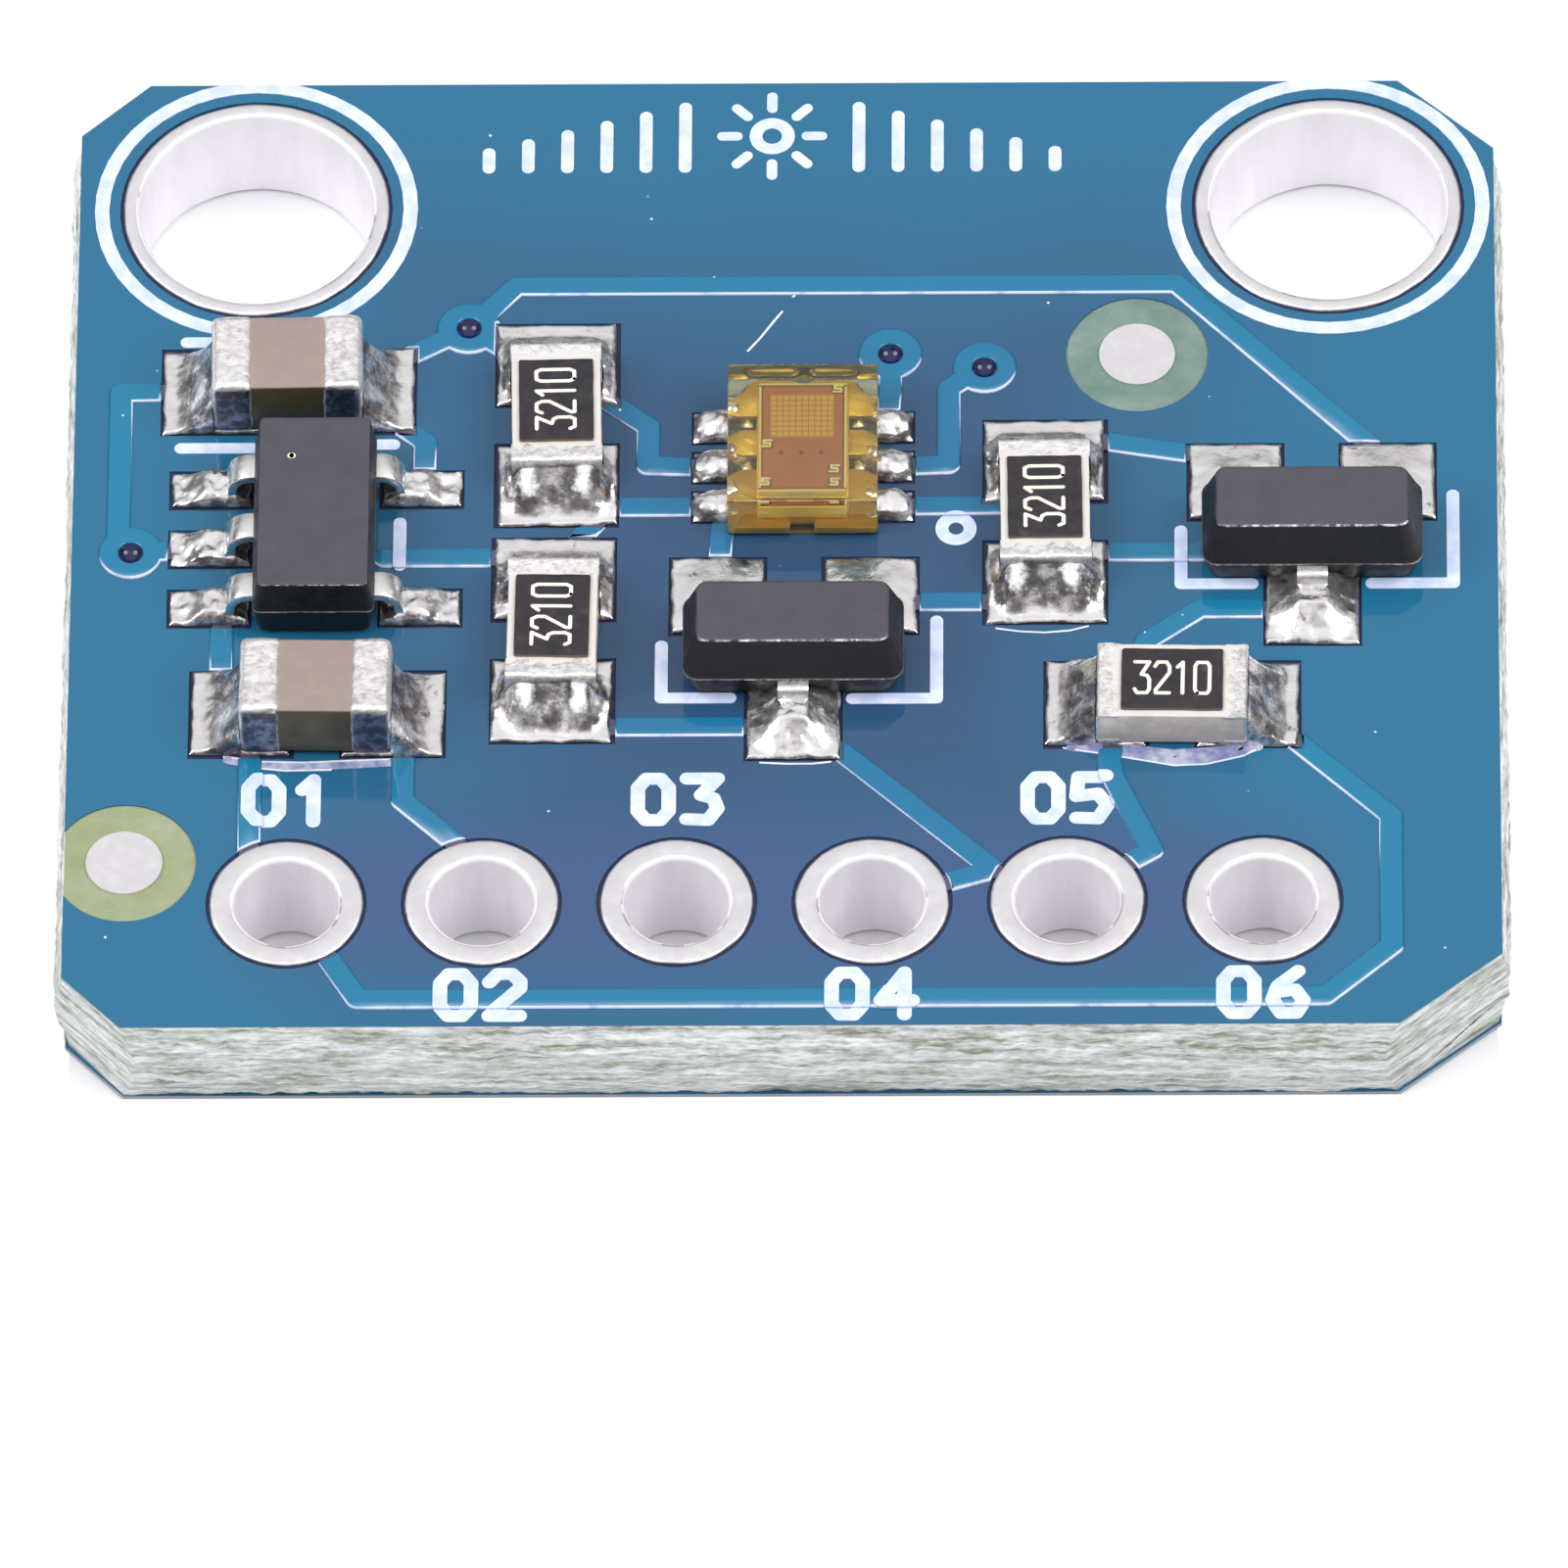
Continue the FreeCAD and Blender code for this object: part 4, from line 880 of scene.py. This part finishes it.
def resistorBody(key, item):
    look = resistorShape
    long, wide, high = look["long"], look["wide"], look["high"]
    base = levels["seat"]
    shape = bmesh.new()
    block(shape, (long - 0.05, wide - 0.01, high - 0.03), (0, 0, base + high / 2 - 0.01))
    rounded(shape, shape.edges[:], 0.012, 2)
    sliced(shape, 0, evenly(-long / 2, long / 2, 14))
    sliced(shape, 1, evenly(-wide / 2, wide / 2, 8))
    roughened(shape, 0.006, 2.2, int(key))
    chipPiece("resistorCeramic", key, item, shape, "alumina", "resistor_body_", 50)


def resistorCaps(key, item):
    look = resistorShape
    long, wide, high, thick = look["long"], look["wide"], look["high"], look["capThick"]
    base = levels["seat"]
    shape = bmesh.new()
    for side in (-1, 1):
        part = bmesh.new()
        turn = look["capRound"]
        path = [(long / 2 - look["cap"], base + high - thick)]
        path += arc((long / 2 - turn, base + high - turn - thick / 2), turn, 90, 0, 4)
        path += arc((long / 2 - turn, base + turn + thick / 2), turn, 0, -90, 4)
        path += [(long / 2 - look["cap"], base + thick)]
        ribbon(part, path, wide + 0.012, thick)
        sliced(part, 1, evenly(-wide / 2, wide / 2, 22))
        sliced(part, 0, evenly(long / 2 - look["cap"], long / 2 - 0.04, 7))
        roughened(part, 0.011, 11, side * 4 + int(key))
        turned(part, 0 if side > 0 else 180)
        copyInto(part, shape)
    chipPiece("resistorCaps", key, item, shape, "endCap", "resistor_end_caps_", 60)


def resistorCoat(key, item):
    look = resistorShape
    long, wide, thick = look["coat"]
    top = levels["seat"] + look["high"]
    shape = bmesh.new()
    block(shape, (long, wide, thick * 2), (0, 0, top - 0.004))
    rounded(shape, uprightEdges(shape), 0.03, 3)
    ring = [edge for edge in shape.edges if all(vert.co.z > top for vert in edge.verts)]
    rounded(shape, ring, 0.012, 2)
    sliced(shape, 0, evenly(-long / 2, long / 2, 16))
    sliced(shape, 1, evenly(-wide / 2, wide / 2, 12))
    for vert in shape.verts:
        wave = noise.noise(Vector((vert.co.x * 5, vert.co.y * 5, int(key) * 3.0)))
        vert.co.xy *= 1 + 0.010 * wave
        if vert.co.z > top:
            vert.co.z += 0.003 * wave
    chipPiece("resistorCoat", key, item, shape, "overcoat", "resistor_overcoat_", 50)


def resistorNumber(key, item):
    look = resistorShape
    top = levels["seat"] + look["high"] + look["coat"][2] - 0.008
    count = len(plainNumber)
    shape = bmesh.new()
    for index, digit in enumerate(plainNumber):
        left = (index - count / 2) * look["numberPitch"] + (look["numberPitch"] - look["numberWide"]) / 2
        for stroke in digits[digit]:
            size = look["numberHigh"]
            points = [(left + x * look["numberWide"] / 0.6, (y - 0.5) * size) for x, y in stroke]
            penStroke(shape, points, look["stroke"], 0.010)
    slide(shape, (0, 0.01, top))
    chipPiece("resistorNumber", key, item, shape, "numberInk", "", 40)


for key, item in resistors.items():
    resistorBody(key, item)
    resistorCaps(key, item)
    resistorCoat(key, item)
    resistorNumber(key, item)
print("resistors made")


# Chip capacitors
capacitorShape = {"long": 1.98, "wide": 1.24, "high": 0.95, "cap": 0.545, "inset": 0.06, "capRound": 0.11}


def capacitorBody(key, item):
    look = capacitorShape
    base = levels["seat"]
    shape = bmesh.new()
    size = (look["long"] - 0.2, look["wide"] - look["inset"], look["high"] - look["inset"])
    block(shape, size, (0, 0, base + look["high"] / 2))
    rounded(shape, shape.edges[:], 0.040, 3)
    sliced(shape, 0, evenly(-0.6, 0.6, 9))
    roughened(shape, 0.004, 2.0, int(key))
    chipPiece("capacitorCeramic", key, item, shape, "dielectric", "capacitor_body_", 50)


def capacitorCaps(key, item):
    look = capacitorShape
    base = levels["seat"]
    shape = bmesh.new()
    for side in (-1, 1):
        part = bmesh.new()
        middle = (side * (look["long"] - look["cap"]) / 2, 0, base + look["high"] / 2)
        block(part, (look["cap"], look["wide"] + 0.01, look["high"] + 0.005), middle)
        rounded(part, part.edges[:], look["capRound"], 4)
        sliced(part, 0, evenly(middle[0] - look["cap"] / 2, middle[0] + look["cap"] / 2, 9))
        sliced(part, 1, evenly(-look["wide"] / 2, look["wide"] / 2, 22))
        sliced(part, 2, evenly(base, base + look["high"], 14))
        roughened(part, 0.012, 5.5, side * 5 + int(key))
        copyInto(part, shape)
    chipPiece("capacitorCaps", key, item, shape, "thickCap", "capacitor_end_caps_", 60)


for key, item in capacitors.items():
    capacitorBody(key, item)
    capacitorCaps(key, item)
print("capacitors made")


# Moulded packages: two tapered halves that meet at a parting line
def mouldedBody(name, node, middle, values):
    long, wide, high = values["size"]
    base = levels["seat"] + values["lift"]
    top = levels["seat"] + high
    shape = bmesh.new()
    block(shape, (long, wide, top - base), (0, 0, (top + base) / 2))
    parting = base + (top - base) * values["parting"]
    rounded(shape, uprightEdges(shape), values["corner"], 4)
    seam = values["seam"] / 2
    sliced(shape, 2, [parting - seam - 0.004, parting - seam, parting + seam, parting + seam + 0.004])
    across, front, back = values["slopes"]
    for vert in shape.verts:
        above = max(vert.co.z - parting, 0.0)
        inset = max(parting - vert.co.z, 0.0) * values["slopeUnder"]
        inset += values["ledge"] if abs(vert.co.z - parting) > seam + 0.002 else 0.0
        lengthways = front if vert.co.y < 0 else back
        vert.co.x *= 1 - (above * across + inset) / (long / 2)
        vert.co.y *= 1 - (above * lengthways + inset) / (wide / 2)
    rounded(shape, rimEdges(shape, top), values["rim"], 3)
    sliced(shape, 0, evenly(-long / 2, long / 2, int(long / 0.08)))
    sliced(shape, 1, evenly(-wide / 2, wide / 2, int(wide / 0.08)))
    shape.normal_update()
    for face in shape.faces:
        height = face.calc_center_median().z
        # Faces along the front top rim take a painted highlight; the faces of the parting seam take the same
        # noisy line
        brokenHighlight = height > top - values["rim"] - 0.004 and 0.62 < face.normal.z < 0.93 and face.normal.y < -0.3
        parted = abs(height - parting) < seam and abs(face.normal.z) < 0.3
        face.material_index = 1 if brokenHighlight or parted else 0
    roughened(shape, 0.004, 6.0, long)
    slide(shape, (*middle, 0))
    makePiece(name, shape, ["moulding", "wornEdge"], [node], 32)


transistorShape = {
    "size": (2.90, 1.38, 0.95), "lift": 0.03, "parting": 0.42, "ledge": 0.010, "seam": 0.014,
    "slopes": (0.30, 0.43, 0.24), "slopeUnder": 0.24, "corner": 0.20, "rim": 0.060,
}
regulatorShape = {
    "size": (1.60, 2.90, 1.010), "lift": 0.05, "parting": 0.48, "ledge": 0.008, "seam": 0.012,
    "slopes": (0.12, 0.12, 0.12), "slopeUnder": 0.12, "corner": 0.09, "rim": 0.022,
}
for key, middle in transistors.items():
    mouldedBody("transistorCase" + key, "transistor_body_" + key, middle, transistorShape)
mouldedBody("regulatorCase", "regulator_body", regulatorMiddle, regulatorShape)
print("moulded packages made")


# Bent leads: out of the case, over a round shoulder and down to a flat foot
leadShape = {"thick": 0.13, "wide": 0.40, "foot": 0.34, "ankle": 0.09, "edgeRound": 0.022}


def bentPath(values):
    look = leadShape
    bend, ankle = values["bend"], look["ankle"]
    shoulder = levels["seat"] + values["shoulder"]
    footTop = levels["seat"] + look["thick"] * 0.5
    knee = values["tip"] - look["foot"]
    path = [(values["start"], shoulder)]
    path += arc((knee - bend, shoulder - bend), bend, 90, 12, 7)
    path += arc((knee + ankle, footTop + ankle), ankle, 190, 270, 5)
    path += [(values["tip"], footTop)]
    return path


def leadSet(name, node, middle, spots, values):
    shape = bmesh.new()
    for x, y, direction in spots:
        part = bmesh.new()
        ribbon(part, bentPath(values), leadShape["wide"], leadShape["thick"])
        sharp = [edge for edge in part.edges if edge.is_manifold and edge.calc_face_angle(0.0) > 1.0]
        rounded(part, sharp, leadShape["edgeRound"], 2)
        roughened(part, 0.006, 6, x + y)
        turned(part, direction)
        slide(part, (x, y, 0))
        copyInto(part, shape)
    slide(shape, (*middle, 0))
    makePiece(name, shape, ["lead"], [node], 50)


transistorLead = {"start": 0.55, "shoulder": 0.40, "tip": 1.21, "bend": 0.10}
regulatorLead = {"start": 0.66, "shoulder": 0.50, "tip": 1.51, "bend": 0.32}
transistorSpots = [(-1.0, 0, 90), (1.0, 0, 90), (0, 0, -90)]
regulatorSpots = [(0, -0.97, 180), (0, 0, 180), (0, 0.97, 180), (0, -0.97, 0), (0, 0.97, 0)]
for key, middle in transistors.items():
    leadSet("transistorLeads" + key, "transistor_leads_" + key, middle, transistorSpots, transistorLead)
leadSet("regulatorLeads", "regulator_leads", regulatorMiddle, regulatorSpots, regulatorLead)


# Height over a lead's pad: x runs outward from the package's middle, y across it. The rear pads of a
# transistor hold less solder.
def leadFillet(values, seed, direction):
    top = levels["copperTop"] + jointShape["film"]
    climb, rough = values["rear" if direction > 0 and "rear" in values else "front"]

    def height(x, y):
        low, high = values["foot"]
        away = math.hypot(max(low - x, x - high, 0), max(abs(y) - values["half"], 0))
        ripple = wrinkle(x, y, seed, values["grain"])
        return top + climb * max(1 - away / values["reach"], 0.0) ** values["curve"] + rough * ripple

    return height


transistorJoint = {
    "foot": (0.72, 1.16), "half": 0.17, "reach": 0.46, "curve": 1.15, "front": (0.26, 0.022),
    "rear": (0.07, 0.010), "grain": 3.4, "pad": (0.42, 1.630, 1.215),
}
regulatorJoint = {
    "foot": (1.10, 1.46), "half": 0.16, "reach": 0.30, "curve": 1.3, "front": (0.14, 0.040), "grain": 4.2,
    "pad": (0.86, 1.90, 0.545),
}


def leadJoints(name, node, middle, spots, values, seed):
    low, high, wide = values["pad"]
    for index, (x, y, direction) in enumerate(spots):
        shape = bmesh.new()
        fillet = leadFillet(values, seed + index * 1.7, direction)
        heightField(shape, ((low, high), (-wide / 2, wide / 2)), fillet, seed + index)
        turned(shape, direction)
        slide(shape, (middle[0] + x, middle[1] + y, 0))
        makePiece(name + "ABCDE"[index], shape, ["solder"], [node], 55)


for key, middle in transistors.items():
    leadJoints("transistorJoint" + key, "transistor_solder_" + key, middle, transistorSpots,
               transistorJoint, 40 + 5 * int(key))
leadJoints("regulatorJoint", "regulator_solder", regulatorMiddle, regulatorSpots, regulatorJoint, 60)
print("leads and their joints made")


# Light sensor: a clear block over a gold lead frame and a die
sensorShape = {
    "size": (1.97, 2.26, 0.73), "paddle": (1.15, 1.74), "frameLow": 0.02, "frameThick": 0.12,
    "die": (1.12, 1.72, 0.20), "dieBorder": 0.034, "dieBack": 0.085, "gridMiddle": (-0.01, 0.424),
    "gridHalf": (0.406, 0.339), "gridPitch": 0.081, "lobeRound": 0.05, "pitch": 0.65,
}
framePlates = [
    [
        (-0.54, 0.50), (-0.87, 0.50), (-0.95, 0.58), (-0.94, 0.74), (-0.75, 0.87), (-0.65, 1.06),
        (-0.10, 1.06), (-0.05, 1.00), (0.06, 1.00), (0.12, 1.06), (0.62, 1.06), (0.73, 0.88),
        (0.93, 0.75), (0.95, 0.60), (0.87, 0.50), (0.54, 0.50),
    ],
    [
        (-0.54, -0.11), (-0.54, 0.29), (-0.78, 0.29), (-0.93, 0.20), (-0.97, 0.09), (-0.93, -0.03),
        (-0.80, -0.11),
    ],
    [(0.54, 0.29), (0.54, -0.11), (0.80, -0.11), (0.92, -0.03), (0.95, 0.09), (0.92, 0.20), (0.78, 0.29)],
    [
        (-0.16, -1.12), (-0.16, -0.80), (-0.54, -0.80), (-0.54, -0.32), (-0.76, -0.32), (-0.91, -0.40),
        (-0.97, -0.58), (-0.97, -1.12),
    ],
    [
        (0.15, -0.80), (0.15, -1.12), (0.97, -1.12), (0.97, -0.60), (0.92, -0.42), (0.76, -0.32),
        (0.54, -0.32), (0.54, -0.80),
    ],
]
bondPads = [(0.445, 0.852), (0.405, -0.42), (0.405, -0.63), (-0.455, -0.016), (-0.474, -0.622)]
bondStroke = [(0.058, 0.048), (-0.042, 0.048), (-0.042, 0.0), (0.042, 0.0), (0.042, -0.048), (-0.058, -0.048)]
dieSpots = [(-0.276, -0.158), (-0.016, -0.158), (0.234, -0.158)]


def sensorDie(name):
    look = sensorShape
    made = Surface(name, Roughness=0.22, IOR=1.6)
    x, y, z = made.axes()
    localX = made.minus(x, sensorMiddle[0])
    localY = made.minus(y, sensorMiddle[1])
    inside = None
    lines = []
    for axis, middle, half in zip((localX, localY), look["gridMiddle"], look["gridHalf"]):
        away = made.minus(axis, middle)
        within = made.spread(made.size(away), half + 0.006, half - 0.006)
        inside = made.times(inside, within) if inside else within
        wave = made.math("PINGPONG", made.math("DIVIDE", away, look["gridPitch"]), 0.5)
        lines.append(made.spread(wave, 0.10, 0.02))
    line = made.math("MAXIMUM", *lines)
    cell = made.blend(made.cloud(4.0, 4.0), tint(220, 162, 44), tint(238, 184, 60))
    grid = made.blend(line, cell, tint(178, 106, 28))
    plain = made.blend(made.cloud(3.0, 5.0), tint(176, 92, 32), tint(196, 114, 46))
    for spot in dieSpots:
        away = made.away((sensorMiddle[0] + spot[0], sensorMiddle[1] + spot[1], 2.0))
        plain = made.blend(made.spread(away, 0.040, 0.022), plain, tint(112, 52, 22))
    grain = made.times(made.spread(made.cells(7.0)["Distance"], 0.09, 0.05), 0.3)
    plain = made.blend(grain, plain, tint(150, 78, 28))
    colour = made.blend(inside, plain, grid)
    for spot in bondPads:
        reach = [made.spread(made.size(made.minus(axis, middle)), 0.086, 0.072)
                 for axis, middle in zip((localX, localY), spot)]
        colour = made.blend(made.times(*reach), colour, tint(96, 48, 16))
    centred = (localX, made.minus(localY, look["dieBack"]))
    for axis, length in zip(centred, look["die"]):
        edge = length / 2 - look["dieBorder"]
        away = made.size(axis)
        colour = made.blend(made.spread(away, edge - 0.026, edge - 0.014), colour, tint(112, 60, 24))
        colour = made.blend(made.spread(away, edge - 0.004, edge + 0.006), colour, tint(244, 214, 118))
    made.wire("Base Color", colour)
    return made.material


surfaces["die"] = sensorDie("polishedDie")


def plate(shape, outline, low, thick):
    face = shape.faces.new([shape.verts.new((x, y, low)) for x, y in outline])
    lifted = bmesh.ops.extrude_face_region(shape, geom=[face])["geom"]
    slide(shape, (0, 0, thick), onlyVerts(lifted))


def sensorPiece(name, shape, look, replaced):
    slide(shape, (*sensorMiddle, 0))
    makePiece(name, shape, [look], replaced, 40)


def sensorFrame():
    look = sensorShape
    low, thick = levels["seat"] + look["frameLow"], look["frameThick"]
    shape = bmesh.new()
    for outline in framePlates:
        part = bmesh.new()
        plate(part, outline, low, thick)
        rounded(part, uprightEdges(part), look["lobeRound"], 4)
        rounded(part, rimEdges(part, low + thick), 0.020, 2)
        copyInto(part, shape)
    long, wide = look["paddle"]
    paddle = bmesh.new()
    block(paddle, (long, wide, thick + 0.02), (0, look["dieBack"], low + thick / 2 + 0.01))
    rounded(paddle, paddle.edges[:], 0.012, 2)
    copyInto(paddle, shape)
    sensorPiece("sensorFrame", shape, "gold", ["sensor_lead_frame"])


def sensorChip():
    look = sensorShape
    low = levels["seat"] + look["frameLow"] + look["frameThick"]
    shape = bmesh.new()
    block(shape, look["die"], (0, look["dieBack"], low + look["die"][2] / 2))
    rounded(shape, shape.edges[:], 0.008, 2)
    sensorPiece("sensorDie", shape, "die", ["sensor_die"])
    pads = bmesh.new()
    for spot in bondPads:
        pad = bmesh.new()
        penStroke(pad, bondStroke, 0.030, 0.020)
        slide(pad, (*spot, low + look["die"][2] - 0.002))
        copyInto(pad, pads)
    sensorPiece("sensorPads", pads, "bond", [])


def sensorBlock():
    look = sensorShape
    shape = bmesh.new()
    block(shape, look["size"], (0, 0, levels["seat"] + look["size"][2] / 2))
    rounded(shape, shape.edges[:], 0.020, 2)
    sensorPiece("sensorResin", shape, "resin", ["sensor_package"])


sensorJoint = {
    "middle": 1.05, "long": 0.44, "wide": 0.27, "climb": 0.19, "rough": 0.040,
    "pad": ((0.61, 1.44), (-0.235, 0.235)),
}


def domeFillet(seed):
    look = sensorJoint
    top = levels["copperTop"] + jointShape["film"] * 0.5

    def height(x, y):
        away = math.hypot((x - look["middle"]) / look["long"], y / look["wide"])
        dome = math.sqrt(max(1 - away * away, 0.0))
        return top + look["climb"] * dome + look["rough"] * wrinkle(x, y, seed, 4.4) * min(dome * 2, 1.0)

    return height


sensorFrame()
sensorChip()
sensorBlock()
for side in (0, 180):
    for step in (-1, 0, 1):
        shape = bmesh.new()
        heightField(shape, sensorJoint["pad"], domeFillet(80 + side / 30 + step), 80 + step + side)
        turned(shape, side)
        slide(shape, (sensorMiddle[0], sensorMiddle[1] + step * sensorShape["pitch"], 0))
        makePiece("sensorJoint" + "LR"[side == 0] + "ABC"[step + 1], shape, ["solder"],
                  ["sensor_solder"], 55)
print("sensor made")


# Marks of soldering and handling: dried flux, a scratch and the regulator's pin dot
marks = {
    "fluxFilm": {
        "surface": "flux",
        "width": 0.13,
        "at": 1.6005,
        "lines": [
            [(3.76, -3.27), (4.35, -3.33), (4.75, -3.42), (5.12, -3.49), (5.55, -3.46), (6.0, -3.34),
             (6.2, -3.27)],
            [(4.45, -3.28), (5.10, -3.38), (5.60, -3.34), (5.95, -3.27)],
            [(-7.25, -3.42), (-6.85, -3.50), (-6.2, -3.53), (-5.6, -3.50), (-5.1, -3.47), (-4.9, -3.42)],
        ],
    },
    "fluxRim": {
        "surface": "fluxEdge",
        "width": 0.026,
        "at": 1.6012,
        "lines": [
            [(3.66, -3.28), (4.25, -3.39), (4.72, -3.49), (5.10, -3.57), (5.52, -3.55), (6.0, -3.42),
             (6.25, -3.27)],
            [(2.78, -1.33), (3.08, -1.38), (3.42, -1.40), (3.74, -1.37), (3.98, -1.30)],
            [(-0.30, -3.50), (0.06, -3.52), (0.38, -3.52), (0.62, -3.49)],
            [(-7.30, -3.37), (-6.88, -3.45), (-6.25, -3.47), (-5.62, -3.44), (-5.10, -3.42), (-4.86, -3.37)],
            [(-7.10, -3.53), (-6.50, -3.60), (-5.90, -3.59)],
        ],
    },
    "scratch": {
        "surface": "fluxEdge",
        "width": 0.030,
        "at": 1.6012,
        "lines": [[(-0.05, 3.90), (-0.16, 3.74), (-0.34, 3.46), (-0.50, 3.25)], [(0.09, 4.15), (0.11, 4.16)]],
    },
    "pinDot": {
        "surface": "numberInk",
        "width": 0.09,
        "at": levels["seat"] + 1.012,
        "lines": [[(-6.46, 0.75), (-6.44, 0.75)]],
    },
}


def drawMarks():
    for name, look in marks.items():
        shape = bmesh.new()
        for line in look["lines"]:
            penStroke(shape, line, look["width"], 0.004)
        slide(shape, (0, 0, look["at"]))
        makePiece(name, shape, [look["surface"]], [], 40)


drawMarks()
print("marks made")


# Lights, sky and floor
lightLook = {
    "away": 0.30,
    "lift": 50.0,
    "round": 76.0,
    "size": 0.20,
    "power": 5.0,
    "skyTop": 0.98,
    "skyLow": 0.14,
    "floor": tint(238, 238, 240),
    "shaded": (9.3, 7.7),
}


def lighting():
    look = lightLook
    for name, side in (("softBoxLeft", -1), ("softBoxRight", 1)):
        lamp = bpy.data.lights.new(name, "AREA")
        lamp.shape = "DISK"
        lamp.size = look["size"]
        area = math.pi * (look["size"] / 2) ** 2
        lamp.energy = look["power"] * area * math.pi
        item = bpy.data.objects.new(name, lamp)
        lift, around = math.radians(look["lift"]), math.radians(look["round"]) * side
        spot = Vector((math.sin(around) * math.cos(lift), -math.cos(around) * math.cos(lift), math.sin(lift)))
        item.location = spot * look["away"]
        item.rotation_euler = spot.to_track_quat("Z", "Y").to_euler()
        scene.collection.objects.link(item)
    world = bpy.data.worlds.new("paleRoom")
    scene.world = world
    world.use_nodes = True
    tree = world.node_tree
    back = tree.nodes["Background"]
    where = tree.nodes.new("ShaderNodeTexCoord")
    parts = tree.nodes.new("ShaderNodeSeparateXYZ")
    tree.links.new(where.outputs["Generated"], parts.inputs[0])
    ramp = tree.nodes.new("ShaderNodeValToRGB")
    tree.links.new(parts.outputs[2], ramp.inputs[0])
    low, high = look["skyLow"], look["skyTop"]
    stops = [(0.0, low), (0.30, low * 1.5), (0.62, high * 0.7), (1.0, high)]
    setStops(ramp, [(position, (value, value, value * 1.02, 1)) for position, value in stops])
    tree.links.new(ramp.outputs[0], back.inputs[0])


# The floor is plain white where the camera sees it past the board, and takes shadows under the board
def floorPlane():
    look = lightLook
    shape = bmesh.new()
    bmesh.ops.create_grid(shape, x_segments=1, y_segments=1, size=0.6)
    mesh = bpy.data.meshes.new("paleFloor")
    shape.to_mesh(mesh)
    shape.free()
    made = Surface("paleFloor", Base_Color=look["floor"], Roughness=0.9)
    x, y, z = made.axes()
    past = [made.math("GREATER_THAN", made.size(axis), edge) for axis, edge in zip((x, y), look["shaded"])]
    seen = made.times(made.math("MAXIMUM", *past), made.add("LightPath").outputs["Is Camera Ray"])
    white = made.add("Emission").outputs[0]
    mix = made.add("MixShader", {0: seen, 1: made.shader.outputs[0], 2: white}).outputs[0]
    made.tree.links.new(mix, made.tree.nodes["Material Output"].inputs[0])
    mesh.materials.append(made.material)
    floor = bpy.data.objects.new("paleFloor", mesh)
    floor.location = (0, 0, -0.02 * mm)
    scene.collection.objects.link(floor)


# Camera, as fitted to the photograph: a long lens from the front and above
cameraView = {
    "azimuth": 1.4, "elevation": 53.578, "roll": -1.3515, "distance": 374.106,
    "target": (0.0146, -3.8442, 1.6), "lens": 658.8,
}


def setCamera():
    look = cameraView
    azimuth, elevation, roll = (math.radians(look[key]) for key in ("azimuth", "elevation", "roll"))
    back = Vector((math.sin(azimuth) * math.cos(elevation), -math.cos(azimuth) * math.cos(elevation),
                   math.sin(elevation)))
    right = (-back).cross(Vector((0, 0, 1))).normalized()
    up = right.cross(-back)
    rolledRight = right * math.cos(roll) + up * math.sin(roll)
    rolledUp = up * math.cos(roll) - right * math.sin(roll)
    data = bpy.data.cameras.new("photoCamera")
    data.lens = look["lens"]
    data.sensor_width = 36
    data.clip_start = 0.01
    data.clip_end = 5
    camera = bpy.data.objects.new("photoCamera", data)
    spot = (Vector(look["target"]) + back * look["distance"]) * mm
    turn = Matrix((rolledRight, rolledUp, back)).transposed().to_4x4()
    camera.matrix_world = Matrix.Translation(spot) @ turn
    scene.collection.objects.link(camera)
    scene.camera = camera


lighting()
floorPlane()
setCamera()
scene.view_settings.view_transform = "Standard"
print("lights, floor and camera set")
